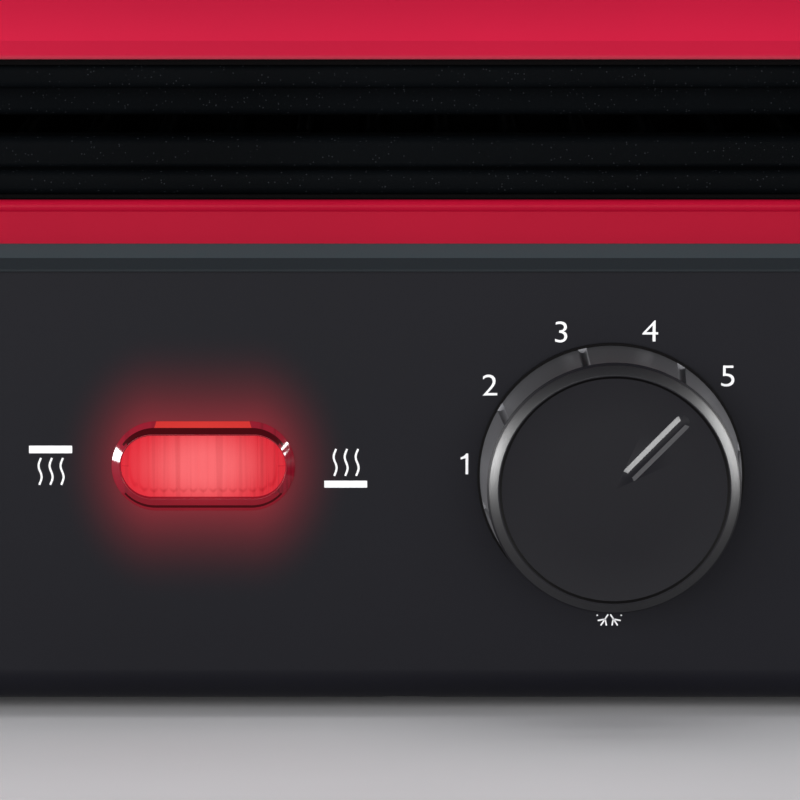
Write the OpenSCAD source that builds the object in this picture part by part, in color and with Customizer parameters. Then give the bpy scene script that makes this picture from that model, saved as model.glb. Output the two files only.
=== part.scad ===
// Electric contact grill: a base with front controls, a red rim and a ribbed plate, and a red lid
// with a second plate that turns about the rear axis and floats up and down on slotted arms.
// Millimetres, +Z up, the controls face -Y, the origin is on the table under the middle of the box.

/* [Overall] */
// Width of the base from side to side
base_w = 322; // [306:1:360]
// Depth of the base from its front lip to its rear lip
base_d = 250; // [240:1:290]
// Corner radius of the base in plan
corner_r = 30; // [28:1:38]
// Wall thickness of the moulded shells
wall = 2.5; // [2:0.1:3]
// Thickness of the pressed sheet parts
sheet = 0.8; // [0.6:0.1:1.2]

/* [Base] */
// Height of the tub's underside above the table
foot_h = 2; // [1:0.5:5]
// Diameter of a foot
foot_d = 18; // [12:1:24]
// Height of the deck's lower edge above the table
deck_z = 62.5; // [60:0.5:75]
// Radius of the tub's bottom edge
edge_r = 5; // [4:0.5:7]
// How far the deck overhangs the tub and the front panel
lip = 0.8; // [0.4:0.1:1.4]
// Height of the bevel along the deck's edge
bevel_h = 1.7; // [1:0.1:3]
// Depth of that bevel
bevel_d = 1.5; // [0.8:0.1:2.5]
// Rise of the sloping ledge behind the bevel
ledge_h = 1.5; // [0.5:0.1:3]
// Depth of the ledge up to the red rim
ledge_d = 3.5; // [2:0.1:6]
// Height of the red rim above the ledge
rim_h = 6; // [5:0.1:9]
// Radius of the bead along the rim's top edge
bead_r = 0.9; // [0.5:0.1:1.2]
// Distance from the base's side to each end of the separate front panel
panel_end = 41; // [38:1:60]

/* [Plates] */
// Gap between the two closed plates
plate_gap = 2.9; // [2:0.1:6]
// Thickness of a plate's flange
flange_t = 3.4; // [2.5:0.1:5]
// Height of a plate's border above its flange
border_rise = 4.2; // [3:0.1:7]
// Width of the raised border round the cooking area
border_w = 7; // [5:0.5:10]
// Depth of the cooking area below the border
pocket_h = 4.4; // [3.5:0.1:5.5]
// Height of the ribs above the cooking area's floor
rib_h = 3.4; // [2:0.1:3.5]
// Width of a rib at its foot
rib_w = 4.4; // [3:0.1:6]
// Distance from one rib to the next
rib_pitch = 10; // [8:0.5:14]
// Width of the grease channel past the ribs' ends
end_channel = 9; // [6:0.5:14]
// Width of the grease channel beside the outer ribs
side_channel = 22; // [18:0.5:30]
// Diameter of the drain hole in the lower plate
drain_d = 7; // [5:0.5:9]

/* [Heating] */
// Diameter of the heating tube
tube_d = 6.5; // [5:0.5:8]
// Distance between the runs of the heating tube
tube_pitch = 44; // [36:1:46]
// Room between the heating tube's bends and the side of its shield
tube_room = 6.4; // [5:0.1:20]
// Depth of the heat shield under an element
pan_h = 13; // [12:0.5:13.5]

/* [Lid] */
// Height of the lid shell
lid_h = 45; // [40:1:60]
// Lean of the lid's walls from upright in degrees
lid_lean = 8; // [4:0.5:10]
// Radius between the lid's walls and its top
lid_round = 13; // [8:0.5:14]
// Height of the upright band along the lid's lower edge
lid_band = 2.6; // [1.5:0.1:4]
// Distance from the upper plate's flange up to the lid's lower edge
lid_gap = 0.9; // [0.5:0.1:1.5]

/* [Hinge] */
// Distance from the base's rear lip back to the hinge axis
hinge_back = 29; // [28:0.5:36]
// Distance from the base's side to the middle of each hinge
hinge_in = 53; // [49:1:66]
// Diameter of a hinge pin
pin_d = 6; // [5:0.5:7]
// How far the lid can float upwards
float_h = 18; // [8:1:18]
// Thickness of a lid arm
arm_t = 12; // [8:0.5:14]
// Thickness of a bracket lug
lug_t = 6; // [4:0.5:8]
// Radius of a bracket lug
lug_r = 9; // [8:0.5:11]

/* [Handle] */
// Reach of the handle in front of the base's front lip
handle_reach = 36; // [34:1:46]
// Distance between the middles of the handle's two legs
handle_w = 196; // [150:2:206]
// Depth of the grip
grip_d = 18; // [16:1:22]
// Height of the grip
grip_h = 15; // [13:1:18]
// Radius of the bends along the middle of the grip
grip_bend = 20; // [16:1:22]
// Height of the grip's middle above the lid's lower edge
grip_rise = 24; // [20:1:26]
// Diameter of the steel rod in the handle
rod_d = 6; // [5:0.5:7]

/* [Controls] */
// Sideways place of the knob
knob_x = 28; // [26:1:60]
// Height of the knob's axis above the table
knob_z = 34.3; // [30:0.1:36]
// Diameter of the knob at the panel
knob_d = 36; // [30:0.2:42]
// How far the knob stands out from the panel
knob_h = 12.8; // [11:0.1:18]
// Diameter of the thermostat's shaft
shaft_d = 6; // [5:0.5:7]
// Angle of the knob's pointer at rest in degrees
pointer_a = 45.5; // [40:0.5:270]
// Sideways place of the indicator lamp
lens_x = -28; // [-60:1:-28]
// Height of the indicator lamp above the knob's axis
lens_up = 1.2; // [-4:0.1:4]
// Width of the indicator's lens
lens_w = 25.2; // [20:0.2:30]
// Height of the indicator's lens
lens_h = 12.4; // [10:0.2:16]
// How far the lens stands out from the panel
lens_rise = 2; // [1.5:0.1:3]

/* [Drip tray] */
// Length of the drip tray along its travel
tray_l = 116; // [90:1:125]
// Width of the drip tray
tray_w = 70; // [50:1:80]
// Height of the drip tray
tray_h = 20; // [16:1:26]
// Distance of the tray's middle behind the middle of the base
tray_back = 44; // [30:1:48]

/* [Cord entry] */
// Sideways place of the cord gland on the rear wall
gland_x = -40; // [-70:1:70]
// Height of the cord gland above the table
gland_z = 24; // [18:1:40]
// Diameter of the gland's bore
gland_bore = 7.4; // [6:0.1:9]

/* [Fits] */
// Clearance between pieces that move past each other
gap = 0.3; // [0.2:0.05:0.5]
// Clearance round a pin in its bore
run_fit = 0.05; // [0.02:0.01:0.1]
// Clearance round a screw or a peg in its hole
peg_fit = 0.1; // [0.05:0.05:0.2]
// Diameter of the screws
screw_d = 3.4; // [3:0.1:4]

/* [Hidden] */
$fn = 64;

// Places along the depth
total_d = handle_reach + base_d + hinge_back + lug_r;
front_y = handle_reach - total_d / 2;
mid_y = front_y + base_d / 2;
axis_y = front_y + base_d + hinge_back;

// Heights, from the table up to the lid's top
bevel_z = deck_z + bevel_h;
ledge_z = bevel_z + ledge_h;
rim_z = ledge_z + rim_h;
seat_z = rim_z + gap;
flange_z = seat_z + flange_t;
cook_z = flange_z + border_rise;
axis_z = cook_z + plate_gap / 2;
hang_z = 2 * axis_z - seat_z;
lid_z = hang_z + lid_gap;
lid_top = lid_z + lid_h;
frame_top = hang_z + wall;
floor_top = foot_h + wall;

// Insets from the base's outline in plan
rim_in = bevel_d + ledge_d;
rim_t = 2.5;
rim_step = 4;
riser_t = 1.8;
shelf_t = 2.2;
flange_w = 5;
flange_in = rim_in + rim_step;
seat_in = flange_in + 1.2;
border_in = flange_in + flange_w;
pocket_in = border_in + border_w;
screw_in = 17.5;
shelf_in = screw_in + 5;
pan_in = 28.5;
pan_lap = 6;
pan_r = 12;
post_d = 9;
cast_r = 1;
head_d = 2 * screw_d;
head_h = 2.2;
head_sink = 0.6;
screw_bite = 6;
hole_d = screw_d + 2 * peg_fit;

// Places of the posts and screws in plan, from the middle of the base
edge_x = base_w / 2 - screw_in;
edge_y = base_d / 2 - screw_in;
panel_w = base_w - 2 * panel_end;
hinge_x = base_w / 2 - hinge_in;
joint_x = hinge_x - 38;
joint_points = [for (sx = [-1, 1])
    each [[sx * joint_x, -edge_y], [sx * joint_x, edge_y], [sx * edge_x, 0]]];
plate_x = base_w / 2 - corner_r - 4;
plate_y = base_d * 0.24;
plate_points = [for (sx = [-1, 1], sy = [-1, 1])
    each [[sx * plate_x, sy * edge_y], [sx * edge_x, sy * plate_y]]];
front_x = panel_w / 2 - 20;
rear_x = hinge_x - 48;
side_y = -base_d * 0.14;
tub_points = [for (sx = [-1, 1])
    each [[sx * front_x, -edge_y], [sx * rear_x, edge_y], [sx * edge_x, side_y]]];
foot_in = 27;
foot_peg = 6;
foot_hold = 8;
foot_points = [for (sx = [-1, 1], sy = [-1, 1]) [sx * (base_w / 2 - foot_in), sy * (base_d / 2 - foot_in)]];
boss_z = foot_h + head_h + head_sink + wall;

// Cooling slots in the floor
vent_w = 44;
vent_h = 4;
vent_pitch = 9;
vent_x = base_w / 4;
vent_y = -base_d * 0.16;

// Front panel and controls, measured outwards from the panel's face
seam = 0.15;
tab_w = 8;
tab_t = 2;
tab_end = 12;
guide_t = 2.3;
boss_h = 5;
bracket_t = 1.2;
thermo_l = 22;
thermo_w = 34;
thermo_h = 30;
thermo_step = 8;
bush_d = 10;
bush_l = 5.2;
shaft_in = 8;
bolt_x = 22;
bolt_d = 2.8;
knob_gap = 0.6;
hub_r = 5;
face_in = 0.9;
pointer_l = 12;
pointer_w = 1.6;
pointer_h = 0.3;
pointer_r = 8;
notch_n = 8;
notch_d = 1.6;
lens_lap = 1.2;
bezel_w = 1.6;
flute_n = 15;
skirt_l = 7;
holder_l = 11;
lamp_l = 14;
pin_x = 5;
thermo_z = -wall - boss_h - bracket_t;

// Heating tube, its straps and its studs, measured down from a plate's seat
tube_z = -tube_d / 2 - gap;
tube_run = base_w - 2 * (pan_in + sheet + tube_room) - tube_pitch - tube_d;
run_y = [for (i = [0 : 3]) (i - 1.5) * tube_pitch];
stud_d = 3;
strap_t = 1;
strap_w = 8;
strap_ear = 9;
strap_r = tube_d / 2 + peg_fit;
stud_off = strap_r + 5;
clip_studs = [for (y = run_y, s = [-1, 1]) [0, y + s * stud_off]];

// Thermal fuse, thermostat sensor and capillary
fuse_d = 4;
fuse_x = -55;
sensor_d = 5;
sensor_l = 50;
sensor_x = knob_x + 4;
sensor_y = -tube_pitch;
capillary_d = 1.6;
capillary_x = sensor_x - sensor_d / 2;

// Terminal block and cord gland
terminal_w = 34;
terminal_d = 16;
terminal_h = 14;
pole_pitch = 10;
ear_w = 10;
terminal_y = base_d / 2 - 44;
ear_x = terminal_w / 2 + 5;
ear_h = 4;
peg_h = 3;
terminal_pegs = [gland_x - ear_x, gland_x + ear_x];
gland_neck = gland_bore + 4;

// Lid's outline in its upright section
lid_in = 22;
lid_edge = 0.8;
lid_bite = 11;
lid_base_z = lid_z + lid_band;
round_z = lid_top - lid_round;
round_u = ((lid_base_z - round_z) * sin(lid_lean) - lid_round) / cos(lid_lean);

// Hinge
slide_r = pin_d / 2 + 2;
slide_h = 1;
slot_r = slide_r + peg_fit;
ear_r = slot_r + 3.4;
arm_in = pan_in - pan_lap - 1;
plate_half = 22;
bracket_lo = 24;
bracket_hi = 57;
bracket_wall = 3;
pin_l = arm_t + 2 * gap + 2 * lug_t;
foot_t = 3;
foot_w = 27;
foot_out = rim_in + wall + 2.5;
bolt_y = base_d / 2 - (foot_out + arm_in) / 2;

// Drip tray and its duct
tray_face = base_w / 2 - lip;
tray_z = floor_top + gap;
tray_t = 2;
rail_t = 2.5;
duct_d = drain_d + 4;
duct_lip = 2.5;
drain_x = base_w / 2 - pan_in - sheet - duct_d / 2 - 1;
duct_z = tray_z + tray_h + 3;

// Handle
grip_y = grip_d / 2 - base_d / 2 - handle_reach;
grip_z = lid_z + grip_rise;
nut_d = rod_d * 1.9;
nut_h = 5;
leg_end = rim_in - base_d / 2 + wall / cos(lid_lean) + (grip_z + nut_d / 2 - lid_base_z) * tan(lid_lean) + gap;

// Rounded rectangle about the origin
module round_rect(w, d, r) {
    square([w - 2 * r, d], center = true);
    square([w, d - 2 * r], center = true);
    for (sx = [-1, 1], sy = [-1, 1])
        translate([sx * (w / 2 - r), sy * (d / 2 - r)]) circle(r);
}

// The base's outline drawn in by an inset, with its own corner radius where one is given
module plan(inset, r = 0) {
    round_rect(base_w - 2 * inset, base_d - 2 * inset, r > 0 ? r : corner_r - inset);
}

// A section, drawn outwards and upwards, carried round the base's outline at an inset
module carry_round(inset) {
    r = corner_r - inset;
    sides = [base_d - 2 * corner_r, base_w - 2 * corner_r];
    reach = [base_w / 2 - inset, base_d / 2 - inset];
    for (i = [0 : 3])
        rotate([0, 0, 90 * i]) translate([reach[i % 2], sides[i % 2] / 2, 0])
            rotate([90, 0, 0]) linear_extrude(sides[i % 2]) children();
    for (c = [[1, 1, 0], [-1, 1, 90], [-1, -1, 180], [1, -1, 270]])
        translate([c[0] * sides[1] / 2, c[1] * sides[0] / 2, 0])
            rotate([0, 0, c[2]]) rotate_extrude(angle = 90) translate([r, 0]) children();
}

// Oblong with round ends, lying along X
module oblong(w, h) {
    square([w - h, h], center = true);
    for (s = [-1, 1]) translate([s * (w - h) / 2, 0]) circle(d = h);
}

// Places a piece on the middle of the base in plan
module on_base() {
    translate([0, mid_y, 0]) children();
}

// Places a piece on the panel's face, with its own Z pointing out of the face and its Y up
module on_panel(x, z) {
    translate([x, front_y + lip, z]) rotate([90, 0, 0]) children();
}

// Pan-head screw with its head below the origin and its shank upwards
module screw(l) {
    translate([0, 0, -head_h]) cylinder(d = head_d, h = head_h);
    cylinder(d = screw_d, h = l);
}

// Section of the tub's wall with its rounded foot
module tub_section() {
    translate([-wall, foot_h + edge_r]) square([wall, deck_z - foot_h - edge_r]);
    translate([-edge_r, foot_h + edge_r]) intersection() {
        difference() {
            circle(edge_r);
            circle(edge_r - wall);
        }
        translate([0, -edge_r]) square(edge_r);
    }
}

// L-shaped guide that the front panel's tab slides down behind, for the right-hand end
module tab_guide() {
    d0 = lip + wall;
    x0 = panel_w / 2 + tab_w + gap;
    translate([0, -base_d / 2, floor_top]) linear_extrude(deck_z - floor_top - 8) {
        translate([x0, d0]) square([guide_t, tab_t + gap + guide_t]);
        translate([panel_w / 2 + 2, d0 + tab_t + gap]) square([tab_w + gap - 1, guide_t]);
    }
}

module base_tub() {
    color("#29292d") on_base() difference() {
        union() {
            carry_round(lip) tub_section();
            translate([0, 0, foot_h]) linear_extrude(wall) plan(lip + edge_r);
            for (p = tub_points)
                translate([p[0], p[1], foot_h]) cylinder(d = post_d, h = boss_z - foot_h);
            tab_guide();
            mirror([1, 0, 0]) tab_guide();
            // Runners on both sides of the drip tray
            for (s = [-1, 1])
                translate([tray_face - tray_l, tray_back + s * (tray_w / 2 + gap + rail_t / 2) - rail_t / 2, foot_h])
                    cube([tray_l - 5, rail_t, wall + tray_h * 0.6]);
            // Bosses for the bracket screws
            for (sx = [-1, 1]) bracket_holes(sx) translate([0, 0, lip]) cylinder(d = post_d, h = wall + 8);
            // Pegs under the terminal block
            for (x = terminal_pegs) translate([x, terminal_y, foot_h]) cylinder(d = post_d, h = wall + peg_h);
        }
        // Opening for the front panel
        translate([-panel_w / 2, -base_d / 2 - 1, 0]) cube([panel_w, lip + edge_r + 1, deck_z + 1]);
        // Opening for the drip tray
        translate([tray_face - edge_r - 1, tray_back - tray_w / 2 - gap, floor_top])
            cube([edge_r + 2, tray_w + 2 * gap, tray_h + 2 * gap]);
        for (p = tub_points) translate([p[0], p[1], foot_h - 1]) {
            cylinder(d = hole_d, h = deck_z);
            cylinder(d = head_d + 2 * gap, h = head_h + head_sink + 1);
        }
        for (p = foot_points) translate([p[0], p[1], foot_h - 1]) cylinder(d = foot_peg + 2 * peg_fit, h = wall + 2);
        for (sx = [-1, 1]) bracket_holes(sx) cylinder(d = hole_d, h = lip + wall + 9);
        for (x = terminal_pegs) translate([x, terminal_y, floor_top]) cylinder(d = hole_d, h = peg_h + 1);
        on_gland() cylinder(d = gland_neck + 2 * peg_fit, h = wall + 2, center = true);
        // Cooling slots through the floor
        for (sx = [-1, 1], i = [-3 : 3])
            translate([sx * vent_x, vent_y + i * vent_pitch, foot_h - 1])
                linear_extrude(wall + 2) oblong(vent_w, vent_h);
    }
}

module control_panel() {
    l = panel_w - 2 * seam;
    color("#2b2b30") difference() {
        union() {
            on_base() translate([l / 2, -base_d / 2 + lip, 0])
                rotate([90, 0, -90]) linear_extrude(l) tub_section();
            for (s = [-1, 1]) on_base()
                translate([s * panel_w / 2 - tab_w, -base_d / 2 + lip + wall, foot_h + tab_end])
                    cube([2 * tab_w, tab_t, deck_z - foot_h - 2 * tab_end]);
            for (s = [-1, 1]) on_panel(knob_x + s * bolt_x, knob_z)
                translate([0, 0, -wall - boss_h]) cylinder(d = 7, h = boss_h + 0.5);
        }
        on_panel(knob_x, knob_z) cylinder(d = shaft_d + 1, h = 4 * wall, center = true);
        for (s = [-1, 1]) on_panel(knob_x + s * bolt_x, knob_z)
            translate([0, 0, -wall - boss_h - 1]) cylinder(d = bolt_d + 2 * peg_fit, h = boss_h + 1);
        on_panel(lens_x, knob_z + lens_up) translate([0, 0, -2 * wall]) linear_extrude(4 * wall)
            oblong(lens_w - 2 * lens_lap + 2 * peg_fit, lens_h - 2 * lens_lap + 2 * peg_fit);
        // Shallow pry notch in the middle of the lower edge
        on_base() translate([0, -base_d / 2 + 3, foot_h + 0.6 - 17])
            rotate([90, 0, 0]) cylinder(r = 17, h = 10, center = true);
    }
}

// Section of the deck's bevelled edge with the tongue that drops inside the tub
module deck_section() {
    tongue_t = 1.6;
    tongue_h = 5;
    polygon([[0, deck_z], [0, deck_z + 0.3], [-bevel_d, bevel_z], [-rim_in, ledge_z], [-flange_in, ledge_z],
        [-flange_in, ledge_z - wall], [-lip - wall - 1, ledge_z - wall], [-lip - wall, deck_z]]);
    translate([-lip - wall - gap - tongue_t, deck_z - tongue_h])
        square([tongue_t, ledge_z - wall - deck_z + tongue_h + 0.2]);
}

module base_deck() {
    color("#3c4043") on_base() difference() {
        union() {
            carry_round(0) deck_section();
            translate([0, 0, ledge_z - wall]) linear_extrude(wall) plan(flange_in);
            for (p = tub_points)
                translate([p[0], p[1], boss_z]) cylinder(d = post_d, h = ledge_z - wall - boss_z + 1);
        }
        translate([0, 0, ledge_z - wall - 1]) linear_extrude(wall + 2) plan(pan_in - gap, pan_r + 0.5);
        for (p = tub_points) translate([p[0], p[1], boss_z - 1]) cylinder(d = hole_d, h = screw_bite + 3);
        for (p = joint_points) translate([p[0], p[1], ledge_z - wall - 1]) cylinder(d = hole_d, h = wall + 2);
        for (p = plate_points) translate([p[0], p[1], ledge_z - wall - 1]) cylinder(d = head_d + 2, h = wall + 2);
    }
}

// Section of the red rim: its wall with the bead on top, and the groove between that wall and the plate's seat
module rim_section() {
    proud = bead_r / 3;
    translate([-rim_t, ledge_z]) square([rim_t - proud, rim_h - bead_r]);
    translate([-rim_t, rim_z - 2 * bead_r]) square([rim_t - bead_r, 2 * bead_r]);
    translate([-bead_r, rim_z - bead_r]) circle(bead_r);
    riser = seat_in - rim_in + riser_t;
    translate([-riser, ledge_z]) square([riser - proud, riser_t]);
    translate([-riser, ledge_z]) square([riser_t, seat_z - ledge_z]);
}

module base_rim() {
    color("#b01632") on_base() difference() {
        union() {
            carry_round(rim_in) rim_section();
            translate([0, 0, seat_z - shelf_t]) linear_extrude(shelf_t) plan(seat_in + riser_t / 2);
            for (p = joint_points) translate([p[0], p[1], ledge_z]) cylinder(d = post_d, h = seat_z - ledge_z);
        }
        translate([0, 0, ledge_z - 1]) linear_extrude(seat_z - ledge_z + 2) plan(shelf_in, pan_r);
        for (p = joint_points) translate([p[0], p[1], ledge_z - 1]) cylinder(d = hole_d, h = 5);
        for (p = plate_points) translate([p[0], p[1], ledge_z]) cylinder(d = hole_d, h = rim_h + 2);
    }
}

// Cross-section of one rib with a rounded crest
module rib_section() {
    crest = rib_w / 4;
    polygon([[-rib_w / 2, -0.5], [rib_w / 2, -0.5], [rib_w / 2, 0], [crest, rib_h - crest],
        [-crest, rib_h - crest], [-rib_w / 2, 0]]);
    translate([0, rib_h - crest]) circle(crest);
}

// Section of a plate's flange and raised border, with rounded edges
module plate_section() {
    in = pocket_in - flange_in;
    step = border_in - flange_in;
    top = flange_t + border_rise;
    translate([-in, 0]) square([in - cast_r, flange_t]);
    translate([-cast_r - 0.1, cast_r]) square([cast_r + 0.1, flange_t - 2 * cast_r]);
    for (z = [cast_r, flange_t - cast_r]) translate([-cast_r, z]) circle(cast_r);
    translate([-in, 0]) square([in - step, top - cast_r]);
    translate([-in + cast_r, 0]) square([in - step - 2 * cast_r, top]);
    for (u = [-in + cast_r, -step - cast_r]) translate([u, top - cast_r]) circle(cast_r);
}

// Cast plate lying on its seat, with its ribs upwards
module grill_plate() {
    floor_h = flange_t + border_rise - pocket_h;
    rib_l = base_d - 2 * (pocket_in + end_channel);
    rib_span = base_w - 2 * (pocket_in + side_channel);
    rib_n = floor((rib_span - rib_w) / rib_pitch);
    difference() {
        union() {
            carry_round(flange_in) plate_section();
            linear_extrude(floor_h) plan(pocket_in);
        }
        for (p = plate_points) translate([p[0], p[1], -1]) cylinder(d = hole_d, h = flange_t);
        // Recesses over the heads of the screws that hold the lid's frame
        for (p = joint_points) translate([p[0], p[1], -1]) cylinder(d = head_d + 2 * gap, h = head_h + gap + 1);
    }
    for (i = [0 : rib_n])
        translate([(i - rib_n / 2) * rib_pitch, rib_l / 2, floor_h])
            rotate([90, 0, 0]) linear_extrude(rib_l) rib_section();
    for (p = clip_studs) translate([p[0], p[1], -2]) cylinder(d = stud_d, h = 2.5);
}

// Turns a piece that lies under the lower plate into its twin over the upper plate
module over_lid() {
    translate([0, 0, hang_z]) mirror([0, 0, 1]) children();
}

module lower_plate() {
    color("#141518") on_base() translate([0, 0, seat_z]) difference() {
        grill_plate();
        translate([drain_x, tray_back, -1]) cylinder(d = drain_d, h = flange_t + border_rise + 2);
    }
}

module upper_plate() {
    color("#141518") on_base() over_lid() grill_plate();
}

// Heating tube under a plate: four runs, three bends and two insulated terminals
module heating_tube() {
    for (y = run_y)
        translate([-tube_run / 2, y, tube_z]) rotate([0, 90, 0]) cylinder(d = tube_d, h = tube_run);
    for (i = [0 : 2], s = i % 2 == 0 ? -1 : 1)
        translate([s * tube_run / 2, (run_y[i] + run_y[i + 1]) / 2, tube_z]) rotate([0, 0, -s * 90])
            rotate_extrude(angle = 180) translate([tube_pitch / 2, 0]) circle(d = tube_d);
    for (y = [run_y[0], run_y[3]]) translate([tube_run / 2, y, tube_z]) rotate([0, 90, 0]) {
        cylinder(d = tube_d, h = 4);
        cylinder(d = tube_d - 2, h = 9);
        cylinder(d = 3, h = 18);
    }
}

// Straps that hold the heating tube against a plate
module tube_clips() {
    for (y = run_y) translate([0, y, 0]) difference() {
        rotate([90, 0, 90]) translate([0, 0, -strap_w / 2]) linear_extrude(strap_w) {
            translate([0, tube_z]) intersection() {
                difference() {
                    circle(strap_r + strap_t);
                    circle(strap_r);
                }
                translate([-20, -20]) square([40, 20]);
            }
            for (s = [-1, 1]) mirror([s < 0 ? 1 : 0, 0]) {
                translate([strap_r, tube_z]) square([strap_t, -tube_z]);
                translate([strap_r, -strap_t]) square([strap_ear, strap_t]);
            }
        }
        for (s = [-1, 1])
            translate([0, s * stud_off, -3]) cylinder(d = stud_d + 2 * peg_fit, h = 4);
    }
}

// Pressed heat shield that hangs from its flange
module shield() {
    difference() {
        union() {
            linear_extrude(sheet) plan(pan_in - pan_lap, pan_r + pan_lap);
            translate([0, 0, -pan_h]) linear_extrude(pan_h + sheet / 2) plan(pan_in, pan_r);
        }
        translate([0, 0, sheet - pan_h]) linear_extrude(pan_h + 1) plan(pan_in + sheet, pan_r - sheet);
        // Holes for the leads under the element's terminals
        for (y = [run_y[0], run_y[3]])
            translate([tube_run / 2 + 14, y, -pan_h - 1]) cylinder(d = 8, h = 4);
    }
}

// Thermal fuse strapped to a plate: its can, its leads and its strap
module fuse() {
    translate([fuse_x, 0, -fuse_d / 2 - peg_fit]) rotate([0, 90, 0]) {
        cylinder(d = fuse_d, h = 12, center = true);
        cylinder(d = 1, h = 32, center = true);
    }
    translate([fuse_x - 3, -5, -fuse_d - 0.8]) cube([6, 10, 1]);
    for (s = [-1, 1]) translate([fuse_x - 3, s * 4.5 - 0.5, -fuse_d - 0.8]) cube([6, 1, fuse_d + 0.8]);
}

module lower_element() {
    color("#5a5650") on_base() translate([0, 0, seat_z]) heating_tube();
}

module upper_element() {
    color("#5a5650") on_base() over_lid() heating_tube();
}

module lower_element_clips() {
    color("#b9bbbd") on_base() translate([0, 0, seat_z]) tube_clips();
}

module upper_element_clips() {
    color("#b9bbbd") on_base() over_lid() tube_clips();
}

module lower_shield() {
    color("#c6c8ca") on_base() translate([0, 0, ledge_z]) difference() {
        shield();
        translate([drain_x, tray_back, -pan_h - 1]) cylinder(d = duct_d + 2 * peg_fit, h = 4);
        translate([capillary_x, sensor_y, -pan_h - 1]) cylinder(d = 4, h = 4);
    }
}

module upper_shield() {
    color("#c6c8ca") on_base() translate([0, 0, frame_top + sheet]) mirror([0, 0, 1]) shield();
}

module lower_fuse() {
    color("#d9d2c0") on_base() translate([0, 0, seat_z]) fuse();
}

module upper_fuse() {
    color("#d9d2c0") on_base() over_lid() fuse();
}

module lower_plate_screws() {
    color("#8d9093") on_base() for (p = plate_points)
        translate([p[0], p[1], seat_z - shelf_t]) screw(shelf_t + flange_t - 1.4);
}

module upper_plate_screws() {
    color("#8d9093") on_base() for (p = plate_points)
        translate([p[0], p[1], frame_top]) mirror([0, 0, 1]) screw(wall + flange_t - 1.4);
}

module rim_screws() {
    color("#8d9093") on_base() for (p = joint_points)
        translate([p[0], p[1], ledge_z - wall]) screw(wall + 3.6);
}

module base_screws() {
    color("#8d9093") on_base() for (p = tub_points)
        translate([p[0], p[1], foot_h + head_h + head_sink]) screw(wall + screw_bite);
}

module base_feet() {
    color("#1b1b1d") on_base() for (p = foot_points) translate([p[0], p[1], 0]) {
        cylinder(d = foot_d, h = foot_h);
        cylinder(d = foot_peg, h = foot_h + wall);
        translate([0, 0, foot_h + wall]) cylinder(d = foot_hold, h = 1.5);
    }
}

// Greased tube that leads from the drain hole down to the tray
module grease_duct() {
    color("#c6c8ca") on_base() translate([drain_x, tray_back, 0]) difference() {
        union() {
            translate([0, 0, duct_z]) cylinder(d = duct_d, h = seat_z - duct_z);
            translate([0, 0, ledge_z - pan_h - 1]) cylinder(d = duct_d + 2 * duct_lip, h = 1);
        }
        translate([0, 0, duct_z - 1]) cylinder(d = drain_d, h = seat_z);
    }
}

module thermostat_bracket() {
    color("#b9bbbd") on_panel(knob_x, knob_z) translate([0, 0, -wall - boss_h - bracket_t]) difference() {
        linear_extrude(bracket_t) round_rect(2 * bolt_x + bush_d, thermo_h * 0.6, 4);
        translate([0, 0, -1]) cylinder(d = bush_d + 2 * peg_fit, h = bracket_t + 2);
        for (s = [-1, 1]) translate([s * bolt_x, 0, -1]) cylinder(d = bolt_d + 2 * peg_fit, h = bracket_t + 2);
    }
}

module thermostat_screws() {
    color("#8d9093") for (s = [-1, 1]) on_panel(knob_x + s * bolt_x, knob_z)
        translate([0, 0, -wall - boss_h - bracket_t]) {
            translate([0, 0, -2]) cylinder(d = 2 * bolt_d, h = 2);
            cylinder(d = bolt_d, h = bracket_t + boss_h - 1);
        }
}

module thermostat_body() {
    color("#e6e1d6") on_panel(knob_x, knob_z) difference() {
        union() {
            translate([0, 0, thermo_z - thermo_l]) linear_extrude(thermo_l) round_rect(thermo_w, thermo_h, 3);
            translate([0, 0, thermo_z - thermo_l - 3]) linear_extrude(4)
                round_rect(thermo_w - thermo_step, thermo_h - thermo_step, 3);
            cylinder_from(thermo_z - 1, bush_d, bush_l);
            for (s = [-1, 1]) translate([s * thermo_step, 0, thermo_z - thermo_l - 7])
                linear_extrude(12) square([0.8, 6.3], center = true);
        }
        cylinder_from(thermo_z - shaft_in - 1, shaft_d + 2 * run_fit, shaft_in + bush_l + 1);
    }
}

// Cylinder that starts at a height and rises
module cylinder_from(z, d, h) {
    translate([0, 0, z]) cylinder(d = d, h = h);
}

// Sensor bulb under the lower plate with the capillary that runs down to the thermostat
module thermostat_sensor() {
    top = seat_z - gap - sensor_d / 2;
    low = knob_z + thermo_h / 2 - 2;
    rear = lip - base_d / 2 - thermo_z + thermo_l;
    color("#b87333") on_base() {
        translate([sensor_x - sensor_l, sensor_y, top]) rotate([0, 90, 0]) cylinder(d = sensor_d, h = sensor_l);
        translate([capillary_x, sensor_y, low]) cylinder(d = capillary_d, h = top - low);
        translate([capillary_x, sensor_y, low]) sphere(d = capillary_d);
        translate([capillary_x, rear, low]) rotate([-90, 0, 0]) cylinder(d = capillary_d, h = sensor_y - rear);
    }
}

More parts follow.
